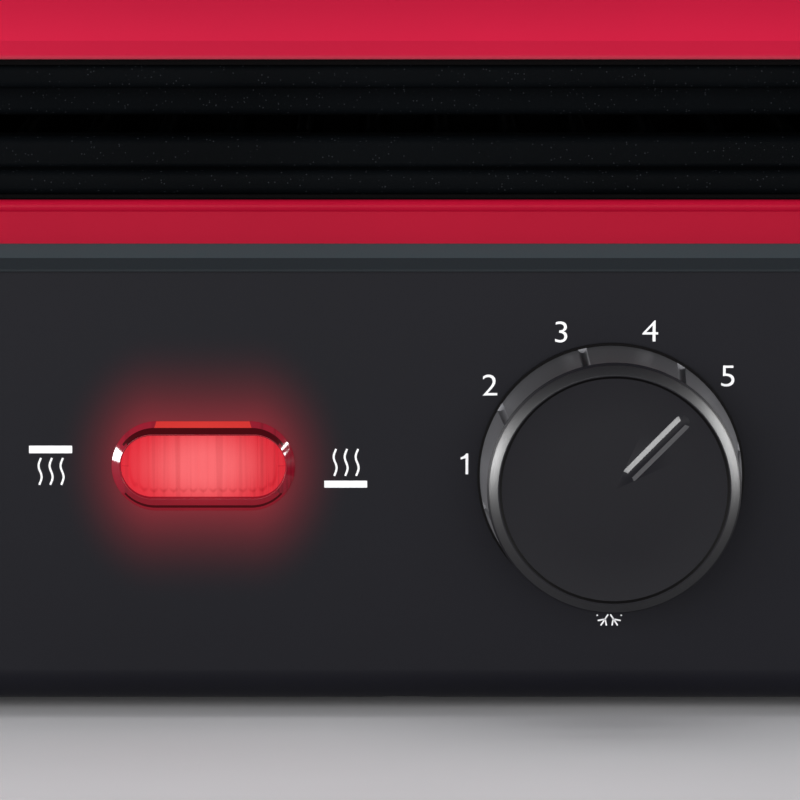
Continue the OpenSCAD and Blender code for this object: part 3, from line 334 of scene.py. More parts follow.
@dataclass(frozen=True)
class Finish:
    """A finish: its linear colours and gloss, and the nodes that vary them; lengths are in metres."""

    name: str
    colour: Colour
    roughness: float = 0.45
    specular: float = 0.5
    metallic: float = 0.0
    coat_roughness: float = 0.06
    grain: float = 2400.0
    bump: float = 0.00001
    vary: float = 0.12
    gloss_vary: float = 0.12
    dust: float = 0.0
    scuffs: float = 0.0

    def make(self) -> bpy.types.Material:
        """The finish's material, built once.

        Returns:
            The material.
        """
        label = "look_" + self.name
        made = bpy.data.materials.get(label)
        if made:
            return made
        material = bpy.data.materials.new(label)
        material.use_nodes = True
        bench = NodeBench(material.node_tree)
        shader = bench.add("ShaderNodeBsdfPrincipled", {
            "Base Color": (*self.colour, 1.0), "Roughness": self.roughness, "Metallic": self.metallic,
            "Specular IOR Level": self.specular, "Coat Roughness": self.coat_roughness})
        bench.add("ShaderNodeOutputMaterial", {"Surface": shader.outputs[0]})
        self.dress(bench, shader)
        return material

    def mottled(self, bench: NodeBench, mottle: Socket, colour: Colour) -> Socket:
        """A colour that varies a little.

        Args:
            bench: the material's bench.
            mottle: how it varies, from 0 to 1.
            colour: the colour in the middle.
        Returns:
            The varied colour.
        """
        dark = tuple(c * (1 - self.vary) for c in colour)
        light = tuple(min(1.0, c * (1 + self.vary)) for c in colour)
        return bench.blend(mottle, dark, light)

    def tint(self, bench: NodeBench, mottle: Socket) -> Socket:
        """The finish's own colour over the surface, before dust."""
        return self.mottled(bench, mottle, self.colour)

    def roughen(self, bench: NodeBench, shader: bpy.types.Node, height: Socket) -> None:
        """Lets a height bump the shader's normal."""
        bump = bench.out("ShaderNodeBump", {"Height": height, "Distance": self.bump})
        bench.join(bump, shader.inputs["Normal"])

    def dress(self, bench: NodeBench, shader: bpy.types.Node) -> None:
        """Links grain, mottle, dust and scuffs into the shader.

        Args:
            bench: the material's bench.
            shader: the Principled shader.
        """
        grain = ShaderGroup.GRAIN.put(bench, Scale=self.grain)
        height = grain["Height"]
        colour = self.tint(bench, bench.ease(grain["Mottle"], 0.3, 0.7))
        rough = bench.plus(bench.times(bench.minus(grain["Gloss"], 0.5), self.gloss_vary), self.roughness)
        if self.dust:
            mask = ShaderGroup.DUST.put(bench, Amount=self.dust)["Mask"]
            colour = bench.blend(mask, colour, DUST_GREY)
            rough = bench.plus(rough, bench.times(mask, 0.4))
        if self.scuffs:
            scuffs = ShaderGroup.SCUFFS.put(bench, Amount=self.scuffs)
            rough = bench.plus(rough, bench.times(scuffs["Mask"], 0.25))
            height = bench.plus(height, scuffs["Height"])
        bench.join(colour, shader.inputs["Base Color"])
        bench.join(bench.plus(rough, 0.0, clamp=True), shader.inputs["Roughness"])
        self.roughen(bench, shader, height)


@dataclass(frozen=True)
class PaintedTopLight(Finish):
    """A plastic with painted light: a paler colour on the faces that look up, as if lit from above."""

    # The paler colour painted on faces that look up, and the facing range over which it blends in.
    up: Colour = (0.05, 0.05, 0.05)
    up_from: float = 0.8
    up_to: float = 0.9

    def tint(self, bench: NodeBench, mottle: Socket) -> Socket:
        """Blends in the painted light by how far a face looks up."""
        mask = bench.ease(bench.facing()["Z"], self.up_from, self.up_to)
        return bench.blend(mask, super().tint(bench, mottle), self.mottled(bench, mottle, self.up))


@dataclass(frozen=True)
class PaintedBandShade(Finish):
    """Gloss paint with painted shade on an upright band and a painted highlight along the band's lower edge.
    """

    # The edge colour is a painted highlight; band darkens the colour below band_top as painted shade.
    edge: Colour = (0.5, 0.05, 0.08)
    edge_from: float = 0.0910
    edge_to: float = 0.0919
    band: float = 0.86
    band_top: float = 0.0936
    band_blur: float = 0.00006

    def tint(self, bench: NodeBench, mottle: Socket) -> Socket:
        """Blends the band's painted shade and the edge's painted highlight in by height.

        Args:
            bench: the material's bench.
            mottle: how the colours vary, from 0 to 1.
        Returns:
            The colour.
        """
        height = bench.axes(bench.place())["Z"]
        deep = self.mottled(bench, mottle, tuple(c * self.band for c in self.colour))
        above = bench.ease(height, self.band_top - self.band_blur, self.band_top + self.band_blur)
        paint = bench.blend(above, deep, super().tint(bench, mottle))
        low = bench.ease(height, self.edge_from, self.edge_to)
        return bench.blend(low, self.mottled(bench, mottle, self.edge), paint)


@dataclass(frozen=True)
class LitPanel(Finish):
    """The front panel's plastic with a painted glow of the light that the lit lens throws on it."""

    glow: Colour = (0.5, 0.01, 0.02)
    half_length: float = 0.0064
    radius: float = 0.00527
    reach: float = 0.012
    squeeze_x: float = 1.12
    squeeze_z: float = 0.84
    fade: float = 2.6

    def dress(self, bench: NodeBench, shader: bpy.types.Node) -> None:
        """Adds the painted glow round the lens to the plastic's own look.

        Args:
            bench: the material's bench.
            shader: the Principled shader.
        """
        super().dress(bench, shader)
        axis = bench.axes(bench.about_lens())
        beyond = bench.larger(bench.minus(bench.size_of(axis["X"]), self.half_length), 0.0)
        away = bench.distance(bench.times(beyond, self.squeeze_x), bench.times(axis["Z"], self.squeeze_z))
        near = bench.over(bench.minus(away, self.radius), self.reach)
        mask = bench.maths("POWER", bench.minus(1.0, near, clamp=True), self.fade)
        front = bench.ease(bench.times(bench.facing()["Y"], -1.0), 0.5, 0.9)
        # Painted glow: emission on the panel's front round the lens.
        bench.join(bench.blend(bench.times(mask, front), BLACK, self.glow), shader.inputs["Emission Color"])
        shader.inputs["Emission Strength"].default_value = 1.0


@dataclass(frozen=True)
class CoatedCasting(Finish):
    """Non-stick coating on a casting, with fine bright flecks, worn paler and smoother inside the border, and
    painted shade towards the front.
    """

    fleck: Colour = (0.16, 0.17, 0.18)
    share: float = 0.3
    worn: Colour = (0.013, 0.0135, 0.0145)
    sheen: float = 0.42
    # The field inside the border, then where its wear fades: a share of its half size, and Y at the front,
    # where the fade is painted shade.
    field_half: Point2 = (0.1415, 0.1055)
    field_y: float = -0.001
    field_fade: Point2 = (0.01, 0.16)
    front_painted_shade: Point2 = (-0.052, 0.02)

    def field_mask(self, bench: NodeBench) -> Socket:
        """1 inside the border, 0 on it and outside, fading out towards the front as painted shade.

        Args:
            bench: the material's bench.
        Returns:
            The mask.
        """
        axis = bench.axes(bench.place())
        across = bench.over(bench.size_of(axis["X"]), self.field_half[0])
        deep = bench.over(bench.size_of(bench.minus(axis["Y"], self.field_y)), self.field_half[1])
        inside = bench.ease(bench.minus(1.0, bench.larger(across, deep)), *self.field_fade)
        return bench.times(inside, bench.ease(axis["Y"], *self.front_painted_shade))

    def dress(self, bench: NodeBench, shader: bpy.types.Node) -> None:
        """Links speckle and wear into colour, gloss and bump.

        Args:
            bench: the material's bench.
            shader: the Principled shader.
        """
        speckle = ShaderGroup.SPECKLE.put(bench, Scale=self.grain, Share=self.share)
        grain = ShaderGroup.GRAIN.put(bench, Scale=self.grain * 0.4, Patch=30.0)
        cooked = self.field_mask(bench)
        ground = bench.blend(cooked, self.tint(bench, bench.ease(grain["Mottle"], 0.3, 0.7)), self.worn)
        smoothest = self.roughness - self.gloss_vary / 2
        rough = bench.plus(bench.times(grain["Gloss"], self.gloss_vary), smoothest)
        bench.join(bench.blend(speckle["Flecks"], ground, self.fleck), shader.inputs["Base Color"])
        bench.join(rough, shader.inputs["Roughness"])
        bench.join(bench.times(cooked, self.sheen), shader.inputs["Coat Weight"])
        self.roughen(bench, shader, speckle["Height"])


@dataclass(frozen=True)
class LitPlastic(Finish):
    """Clear red plastic of the lens, lit from behind."""

    edge: Colour = (0.7, 0.02, 0.03)
    middle: Colour = (1.0, 0.1, 0.13)
    half_width: float = 0.0115
    flatness: float = 0.62
    streaks: float = 0.5

    def dress(self, bench: NodeBench, shader: bpy.types.Node) -> None:
        """Makes the glow: paler in the middle, with upright streaks and painted shade on the lower ends of
        the flutes.

        Args:
            bench: the material's bench.
            shader: the Principled shader.
        """
        local = bench.about_lens()
        axis = bench.axes(local)
        side = bench.over(bench.size_of(axis["X"]), self.half_width)
        tall = bench.over(bench.size_of(axis["Z"]), self.half_width * self.flatness)
        glow = bench.blend(bench.ease(bench.distance(side, tall), 0.15, 1.0), self.middle, self.edge)
        across = bench.out("ShaderNodeMapping", {"Vector": local, "Scale": (1.0, 0.0, 0.03)})
        thick, thin = bench.noise(across, 700.0, 1.0), bench.noise(across, 2300.0, 2.0)
        right = bench.times(bench.ease(axis["X"], 0.003, 0.011), 0.9)
        hair = bench.times(bench.ease(thin, 0.5, 0.6), bench.plus(right, 0.15))
        lines = bench.plus(bench.ease(thick, 0.52, 0.62), hair)
        dim = bench.times(bench.plus(lines, right), 0.32 * self.streaks)
        # Painted shade: faces that look down glow dimmer.
        under = bench.ease(bench.times(bench.facing()["Z"], -1.0), 0.12, 0.6)
        dim = bench.plus(dim, bench.times(under, 0.55 * self.streaks), clamp=True)
        dark = tuple(c * 0.25 for c in self.edge)
        bench.join(bench.blend(dim, glow, dark), shader.inputs["Emission Color"])
        shader.inputs["Emission Strength"].default_value = 1.0
        self.roughen(bench, shader, thin)


GRAPHITE = Finish("graphite_plastic", (0.0055, 0.0055, 0.0075), 0.52, 0.15, dust=0.05, scuffs=0.25,
                  bump=0.000006)
PANEL = LitPanel("panel_plastic", (0.0054, 0.0054, 0.0082), 0.5, 0.12, bump=0.000004, scuffs=0.1, vary=0.06,
                 glow=(0.185, 0.0085, 0.014), reach=0.0110)
# The deck's faces that look up are painted paler, as painted light from above.
DECK = PaintedTopLight("deck_plastic", (0.0128, 0.0162, 0.019), 0.55, 0.1, bump=0.000005, vary=0.03,
                 up=(0.034, 0.051, 0.057))
# The lid's paint, with painted shade on its lower band and a painted highlight on its lower edge.
LID_RED = PaintedBandShade("lid_red", (0.52, 0.0055, 0.038), 0.42, 0.06, bump=0.000003, grain=900.0, vary=0.03,
                     gloss_vary=0.06, dust=0.02)
RIM_RED = Finish("rim_red", (0.32, 0.003, 0.02), 0.36, 0.06, bump=0.000003, grain=900.0, vary=0.04,
                 gloss_vary=0.06)
COATING = CoatedCasting("nonstick_coating", (0.0018, 0.0024, 0.003), 0.58, 0.02, fleck=(0.02, 0.022, 0.025),
                        grain=2300.0, bump=0.000014, vary=0.2, share=0.2, coat_roughness=0.32)
# Black plastic of the lid's frame, also used as painted shade on the knob's step and foot lip and behind the
# rim's lip.
BLACK_AND_PAINTED_SHADE = Finish("frame_black", (0.0015, 0.0012, 0.0014), 0.7, 0.05)
HANDLE = Finish("handle_plastic", (0.012, 0.012, 0.014), 0.46, 0.45, dust=0.08, scuffs=0.4)
KNOB = Finish("knob_plastic", (0.0046, 0.0044, 0.0066), 0.44, 0.13, bump=0.000004, vary=0.05, scuffs=0.15)
KNOB_EDGE = Finish("knob_edge", (0.006, 0.006, 0.0075), 0.4, 0.4, bump=0.000002, vary=0.05, scuffs=0.2)
# Painted highlight: the pointer's long flanks are paler than the body, and glossier.
KNOB_PAINTED_GLINT = Finish("knob_painted_glint", (0.03, 0.03, 0.033), 0.3, 1.0, bump=0.000002, vary=0.05)
KNOB_SKIRT = Finish("knob_skirt", (0.115, 0.115, 0.122), 0.52, metallic=1.0, bump=0.000004, vary=0.05,
                    gloss_vary=0.04)
TRAY = Finish("tray_plastic", (0.017, 0.0175, 0.019), 0.45, 0.45, scuffs=0.3)
ARM = Finish("arm_paint", (0.014, 0.014, 0.016), 0.42, 0.5, grain=1300.0, bump=0.000016, scuffs=0.5,
             dust=0.08)
RUBBER = Finish("foot_rubber", (0.012, 0.012, 0.012), 0.72, 0.3, grain=1600.0, bump=0.00003)
STEEL = Finish("bright_steel", (0.52, 0.53, 0.54), 0.26, metallic=1.0, grain=1500.0, vary=0.05, scuffs=0.6)
ZINC = Finish("zinc_plate", (0.46, 0.46, 0.44), 0.36, metallic=1.0, grain=1200.0, vary=0.1, scuffs=0.5)
SHEET = Finish("shield_sheet", (0.6, 0.61, 0.62), 0.38, metallic=1.0, grain=700.0, vary=0.06, scuffs=0.6)
SHEATH = Finish("heater_sheath", (0.13, 0.105, 0.085), 0.5, metallic=1.0, grain=1100.0, vary=0.3)
CERAMIC = Finish("fuse_ceramic", (0.68, 0.64, 0.54), 0.6, grain=2000.0)
RESIN = Finish("cream_resin", (0.72, 0.68, 0.57), 0.5, grain=2000.0)
COPPER = Finish("copper_tube", (0.6, 0.27, 0.13), 0.32, metallic=1.0, grain=1400.0, vary=0.15)
ACETAL = Finish("white_acetal", (0.68, 0.68, 0.66), 0.42, grain=2200.0)
INK = Finish("printed_ink", (0.85, 0.85, 0.86), 0.5, 0.3, bump=0.000002, vary=0.03)
FLOOR = Finish("floor_grey", (0.60, 0.595, 0.61), 0.8, 0.0, grain=300.0, vary=0.01, gloss_vary=0.0,
               bump=0.000001)
WINDOW = LitPlastic("lens_window", (0.12, 0.004, 0.006), 0.3, 0.1, edge=(0.62, 0.018, 0.032),
                    middle=(0.80, 0.14, 0.15))
LENS_RIM = LitPlastic("lens_rim", (0.05, 0.001, 0.003), 0.09, 0.4, edge=(0.25, 0.004, 0.018),
                      middle=(0.3, 0.006, 0.02), streaks=0.9, bump=0.000001)
# Painted glow along the straight top of the lens's rim.
LENS_PAINTED_GLOW = LitPlastic("lens_painted_glow", (0.2, 0.008, 0.008), 0.25, 0.2, edge=(0.40, 0.022, 0.018),
                       middle=(0.55, 0.05, 0.03), streaks=0.0, bump=0.000001)
LENS_WALL = LitPlastic("lens_wall", (0.1, 0.003, 0.006), 0.2, 0.2, edge=(0.13, 0.003, 0.010),
                       middle=(0.26, 0.010, 0.020), streaks=0.0, bump=0.000001)
# Painted shade in bands on the lens's rim.
LENS_PAINTED_SHADE = LitPlastic("lens_painted_shade", (0.02, 0.0005, 0.001), 0.2, 0.1, edge=(0.035, 0.0003, 0.002),
                       middle=(0.035, 0.0003, 0.002), streaks=0.0, bump=0.000001)
LAMP = LitPlastic("lamp_glow", (0.6, 0.2, 0.1), 0.2, edge=(1.0, 0.3, 0.12), middle=(1.0, 0.4, 0.2),
                  streaks=0.0)


def fillet(corners: Sequence[Point3], steps: int = 4) -> list[Point2]:
    """Rounds the corners of an open outline.

    Args:
        corners: points as (a, b, radius); a radius of 0 keeps the corner.
        steps: pieces in each rounded corner.
    Returns:
        The points of the rounded outline.
    """
    points: list[Point2] = []
    for i, (a, b, radius) in enumerate(corners):
        here = Vector((a, b))
        if radius <= 0 or i in (0, len(corners) - 1):
            points.append((a, b))
            continue
        before = (Vector(corners[i - 1][:2]) - here).normalized()
        after = (Vector(corners[i + 1][:2]) - here).normalized()
        half = before.angle(after) / 2
        cut_back = radius / math.tan(half)
        middle = here + (before + after).normalized() * (radius / math.sin(half))
        start, end = here + before * cut_back - middle, here + after * cut_back - middle
        turn = start.angle_signed(end)
        for k in range(steps + 1):
            spun = start.copy()
            spun.rotate(Matrix.Rotation(-turn * k / steps, 2))
            points.append(tuple(middle + spun))
    return points


def circle(radius: float, z: float, count: int, x: float = 0.0, y: float = 0.0) -> list[Vector]:
    """Points round a circle, anticlockwise from above.

    Args:
        radius: the circle's radius.
        z: its height.
        count: how many points it has.
        x, y: its middle.
    Returns:
        The points.
    """
    turns = [math.tau * k / count for k in range(count)]
    return [Vector((x + radius * math.cos(turn), y + radius * math.sin(turn), z)) for turn in turns]


def round_loop(half_x: float, half_y: float, radius: float, z: float, steps: int = 12) -> list[Vector]:
    """Points round a rectangle with rounded corners, anticlockwise from above.

    Args:
        half_x, half_y: half sizes.
        radius: corner radius.
        z: height of the loop.
        steps: pieces in each corner.
    Returns:
        The points.
    """
    points = []
    for quarter, (sx, sy) in enumerate(((1, 1), (-1, 1), (-1, -1), (1, -1))):
        for k in range(steps + 1):
            angle = math.pi / 2 * (quarter + k / steps)
            points.append(Vector((sx * (half_x - radius) + radius * math.cos(angle),
                                  sy * (half_y - radius) + radius * math.sin(angle), z)))
    return points


def skin(loops: Sequence[Sequence[Vector]], capped: bool = True) -> bmesh.types.BMesh:
    """Joins loops of equal length into a surface.

    Args:
        loops: the loops in order.
        capped: whether the ends are closed.
    Returns:
        The mesh, with its faces turned outwards.
    """
    made = bmesh.new()
    rows = [[made.verts.new(p) for p in loop] for loop in loops]
    count = len(rows[0])
    for low, high in zip(rows, rows[1:]):
        for i in range(count):
            j = (i + 1) % count
            made.faces.new((low[i], low[j], high[j], high[i]))
    if capped:
        made.faces.new(rows[0][::-1])
        made.faces.new(rows[-1])
    bmesh.ops.recalc_face_normals(made, faces=made.faces)
    return made


def plain_mesh(name: str, source: bmesh.types.BMesh, scale: float = 1.0) -> bpy.types.Mesh:
    """Turns a BMesh into a mesh, scaled, and frees it.

    Args:
        name: the mesh's name.
        source: the BMesh.
        scale: the scale, such as MM for metres.
    Returns:
        The mesh.
    """
    mesh = bpy.data.meshes.new(name)
    source.transform(Matrix.Scale(scale, 4))
    source.to_mesh(mesh)
    source.free()
    return mesh


def smooth_faces(mesh: bpy.types.Mesh) -> None:
    """Shades every face of a mesh smooth."""
    mesh.polygons.foreach_set("use_smooth", [True] * len(mesh.polygons))


def in_scene(name: str, data: bpy.types.ID) -> bpy.types.Object:
    """Puts a new object into the scene.

    Args:
        name: the object's name.
        data: its mesh, curve, light or camera.
    Returns:
        The object.
    """
    made = bpy.data.objects.new(name, data)
    bpy.context.scene.collection.objects.link(made)
    return made


def baked(host: bpy.types.Object) -> bpy.types.Mesh:
    """Turns an object with its modifiers into a plain mesh, and removes the object.

    Args:
        host: the object.
    Returns:
        The mesh.
    """
    bpy.context.view_layer.update()
    made = bpy.data.meshes.new_from_object(host.evaluated_get(bpy.context.evaluated_depsgraph_get()))
    host.modifiers.clear()
    bpy.data.objects.remove(host)
    return made


def cut(mesh: bpy.types.Mesh, cutter: bpy.types.Mesh, operation: str = "DIFFERENCE") -> bpy.types.Mesh:
    """Takes one mesh out of another, or joins the two.

    Args:
        mesh: what is cut.
        cutter: what is taken out of it or joined to it.
        operation: the Boolean modifier's operation.
    Returns:
        The new mesh.
    """
    block, tool = in_scene("cut_block", mesh), in_scene("cut_tool", cutter)
    step = block.modifiers.new("cut", "BOOLEAN")
    step.operation, step.object, step.solver = operation, tool, "EXACT"
    made = baked(block)
    bpy.data.objects.remove(tool)
    return made


def settle(name: str, source: bmesh.types.BMesh | bpy.types.Mesh, finish: Finish | Sequence[Finish],
           body: Body, replaces: Iterable[str] = (), sharp: float = 32.0,
           place: Matrix | None = None) -> bpy.types.Object:
    """Turns a mesh into a piece that rides on a body.

    Args:
        name: the piece's name.
        source: its mesh, in millimetres for a BMesh and in metres for a Mesh.
        finish: its finish, or one for each material index.
        body: the body it rides on.
        replaces: CAD nodes that it stands for.
        sharp: edges that turn more than this many degrees stay sharp; 0 keeps the mesh's own normals.
        place: where a BMesh goes, if it isn't in place yet.
    Returns:
        The piece.
    """
    if isinstance(source, bmesh.types.BMesh):
        if place:
            source.transform(place)
        mesh = plain_mesh(name, source, MM)
    else:
        mesh = source
        mesh.name = name
    for one in [finish] if isinstance(finish, Finish) else finish:
        if one.make().name not in mesh.materials:
            mesh.materials.append(one.make())
    smooth_faces(mesh)
    if sharp:
        mesh.set_sharp_from_angle(angle=math.radians(sharp))
    piece = in_scene(name, mesh)
    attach(piece, body.value)
    nodes = tuple(replaces)
    if nodes:
        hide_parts(*nodes)
    LOG.info("%s: %d faces on %s", name, len(mesh.polygons), body.value)
    return piece


def on_panel(x: float, z: float, out: float = 0.0) -> Matrix:
    """Place on the front panel: local X stays, local Y goes up, local Z comes out of the panel.

    Args:
        x, z: the place on the panel in millimetres.
        out: distance out of the panel's face.
    Returns:
        The matrix in millimetres.
    """
    return Matrix(((1, 0, 0, x), (0, 0, -1, PANEL_Y - out), (0, 1, 0, z), (0, 0, 0, 1)))


class GrowthTree:
    """A Geometry Nodes tree with named inputs, turned into plain meshes."""

    def __init__(self, name: str, **inputs: str) -> None:
        """Makes the tree with a geometry in and out, the named inputs and a material.

        Args:
            name: the tree's name.
            inputs: socket type to the names of its inputs, parted by spaces.
        """
        self.tree = bpy.data.node_groups.new(name, "GeometryNodeTree")
        face = self.tree.interface
        face.new_socket("Geometry", in_out="INPUT", socket_type="NodeSocketGeometry")
        for kind, labels in {**inputs, "Material": "Material"}.items():
            for label in labels.split():
                face.new_socket(label, in_out="INPUT", socket_type="NodeSocket" + kind)
        face.new_socket("Geometry", in_out="OUTPUT", socket_type="NodeSocketGeometry")
        self.bench = NodeBench(self.tree)
        self.given = {s.name: s for s in self.bench.add("NodeGroupInput").outputs if s.name}

    def at(self) -> Sockets:
        """X, Y and Z of a point's place."""
        return self.bench.axes(self.bench.out("GeometryNodeInputPosition"))

    def move(self, geometry: Socket, **offset: Feed) -> Socket:
        """A geometry with its points moved along X, Y or Z."""
        moved = {"Geometry": geometry, "Offset": self.bench.vector(**offset)}
        return self.bench.out("GeometryNodeSetPosition", moved)

    def line_up(self, piece: Socket, count: Socket, start: Socket, step: Socket) -> Socket:
        """Sets copies of a piece in a row along X.

        Args:
            piece: the geometry of one.
            count: how many there are.
            start: where the first one stands.
            step: from one to the next.
        Returns:
            The row.
        """
        row = self.bench.out("GeometryNodeMeshLine", {
            "Count": count, "Start Location": start, "Offset": self.bench.vector(X=step)}, mode="OFFSET")
        return self.bench.out("GeometryNodeInstanceOnPoints", {"Points": row, "Instance": piece})

    def close(self, geometry: Socket, smooth: bool = False) -> None:
        """Ends the tree in Realize Instances and Set Material.

        Args:
            geometry: what the tree has made.
            smooth: whether its faces are shaded smooth.
        """
        if smooth:
            geometry = self.bench.out("GeometryNodeSetShadeSmooth", {0: geometry})
        real = self.bench.out("GeometryNodeRealizeInstances", {0: geometry})
        coat = {"Geometry": real, "Material": self.given["Material"]}
        self.bench.add("NodeGroupOutput", {0: self.bench.out("GeometryNodeSetMaterial", coat)})

    def grow(self, finish: Finish, seed: bpy.types.Mesh | None = None, **values: object) -> bpy.types.Mesh:
        """Runs the tree.

        Args:
            finish: the finish of what it makes.
            seed: the mesh that the tree starts from, if it uses one.
            values: the other inputs' values by name.
        Returns:
            The mesh that it makes.
        """
        host = in_scene("growth_host", seed or bpy.data.meshes.new("growth_seed"))
        step = host.modifiers.new("growth", "NODES")
        step.node_group = self.tree
        wanted = {**values, "Material": finish.make()}
        for item in self.tree.interface.items_tree:
            if item.in_out == "INPUT" and item.name in wanted:
                step[item.identifier] = wanted[item.name]
        return baked(host)


@dataclass
class Footprint:
    """The base's outline in plan, in millimetres."""

    width: float = 322.0
    depth: float = 250.0
    corner: float = 30.0
    least_corner: float = 3.0
    middle_y: float = -1.0

    def loop(self, inset: float, z: float) -> list[Vector]:
        """The outline drawn in.

        Args:
            inset: how far it is drawn in.
            z: its height.
        Returns:
            The points.
        """
        corner = max(self.corner - inset, self.least_corner)
        points = round_loop(self.width / 2 - inset, self.depth / 2 - inset, corner, z)
        return [p + Vector((0.0, self.middle_y, 0.0)) for p in points]

    def inset(self, x: float, y: float) -> float:
        """How far a point lies inside the outline.

        Args:
            x, y: the point in plan.
        Returns:
            The distance, below 0 outside.
        """
        over_x = abs(x) - self.width / 2 + self.corner
        over_y = abs(y - self.middle_y) - self.depth / 2 + self.corner
        outside = math.hypot(max(over_x, 0.0), max(over_y, 0.0)) + min(max(over_x, over_y), 0.0)
        return self.corner - outside


@dataclass
class GrillPlate:
    """A ribbed cast plate with its flange, its raised border and its ribs, in millimetres."""

    side: Side
    plan: Footprint = field(default_factory=Footprint)
    seat_z: float = 72.0
    mirror_z: float = 81.05
    flange_in: float = 9.0
    flange_t: float = 3.4
    border_in: float = 14.0
    border_top: float = 7.6
    pocket_in: float = 21.0
    pocket_lip: float = 4.0
    floor_h: float = 3.2
    draft: float = 0.35
    rib_count: int = 24
    rib_pitch: float = 10.0
    rib_length: float = 190.0
    rib_width: float = 4.9
    rib_height: float = 3.7
    rib_sink: float = 0.3
    # The drain's X, Y and radius, its dish's width and depth, and the cutter's lower and upper end.
    drain: Point3 = (125.2, 43.0, 3.5)
    drain_dish: Point2 = (1.5, 0.8)
    drain_reach: Point2 = (-2.0, 12.0)

    def casting(self) -> bmesh.types.BMesh:
        """The plate without its ribs, as a lower plate.

        Returns:
            The mesh in millimetres.
        """
        outline = fillet([
            (self.border_in, 0.0, 0.0), (self.flange_in, 0.0, 1.0), (self.flange_in, self.flange_t, 1.0),
            (self.border_in, self.flange_t, 0.6), (self.border_in + self.draft, self.border_top, 1.2),
            (self.pocket_in - self.draft, self.border_top, 1.2), (self.pocket_in, self.floor_h, 1.4),
            (self.pocket_in + self.pocket_lip, self.floor_h, 0.0)])
        return skin([self.plan.loop(inset, self.seat_z + z) for inset, z in outline])

    def drill(self, mesh: bpy.types.Mesh) -> bpy.types.Mesh:
        """Cuts the drain hole with a shallow dish through a plate.

        Args:
            mesh: the plate in metres.
        Returns:
            The drilled mesh.
        """
        x, y, radius = self.drain
        wide, deep = self.drain_dish
        low, high = self.drain_reach
        rows = [(radius, low), (radius, self.floor_h - deep), (radius + wide, self.floor_h + 0.1),
                (radius + wide, high)]
        loops = [circle(r, self.seat_z + z, 48, x, y) for r, z in rows]
        return cut(mesh, plain_mesh("drain_cutter", skin(loops), MM))

    def rib_tree(self) -> GrowthTree:
        """The tree that lays rounded ribs side by side.

        Returns:
            The tree.
        """
        grown = GrowthTree("rib_field", Int="Count", Float="Pitch Length Width Height Sink", Vector="Start")
        bench, given, at = grown.bench, grown.given, grown.at()
        sheet = bench.out("GeometryNodeMeshGrid", {
            "Size X": given["Width"], "Size Y": given["Length"], "Vertices X": 15, "Vertices Y": 90})
        across = bench.over(bench.times(bench.size_of(at["X"]), 2.0), given["Width"])
        hill = bench.minus(1.0, bench.ease(across, 0.12, 1.0))
        end = bench.minus(bench.over(given["Length"], 2.0), bench.size_of(at["Y"]))
        taper = bench.ease(bench.over(end, given["Width"]), 0.0, 1.3)
        rise = bench.minus(bench.times(bench.times(hill, taper), given["Height"]), given["Sink"])
        rib = grown.move(sheet, Z=rise)
        grown.close(grown.line_up(rib, given["Count"], given["Start"], given["Pitch"]), smooth=True)
        return grown

    def build(self, tree: GrowthTree | None = None) -> GrowthTree:
        """Makes the plate and its ribs as one piece.

        Args:
            tree: the rib tree, if another plate has made it.
        Returns:
            The rib tree.
        """
        tree = tree or self.rib_tree()
        first_x = -(self.rib_count - 1) / 2 * self.rib_pitch
        start = Vector((first_x, self.plan.middle_y, self.seat_z + self.floor_h)) * MM
        ribs = tree.grow(COATING, Count=self.rib_count, Start=tuple(start), Pitch=self.rib_pitch * MM,
                         Length=self.rib_length * MM, Width=self.rib_width * MM,
                         Height=self.rib_height * MM, Sink=self.rib_sink * MM)
        shell = plain_mesh("plate_shell", self.casting(), MM)
        if self.side is Side.LOWER:
            shell = self.drill(shell)
        whole = bmesh.new()
        whole.from_mesh(shell)
        whole.from_mesh(ribs)
        if self.side is Side.UPPER:
            lift = Matrix.Translation((0, 0, 2 * self.mirror_z * MM))
            whole.transform(lift @ Matrix.Scale(-1, 4, (0, 0, 1)))
            bmesh.ops.reverse_faces(whole, faces=whole.faces)
        mesh = plain_mesh("plate", whole)
        name, body = ("lower_plate", Body.BASE) if self.side is Side.LOWER else ("upper_plate", Body.LID)
        settle(name + "_cast", mesh, COATING, body, [name], sharp=50.0)
        return tree


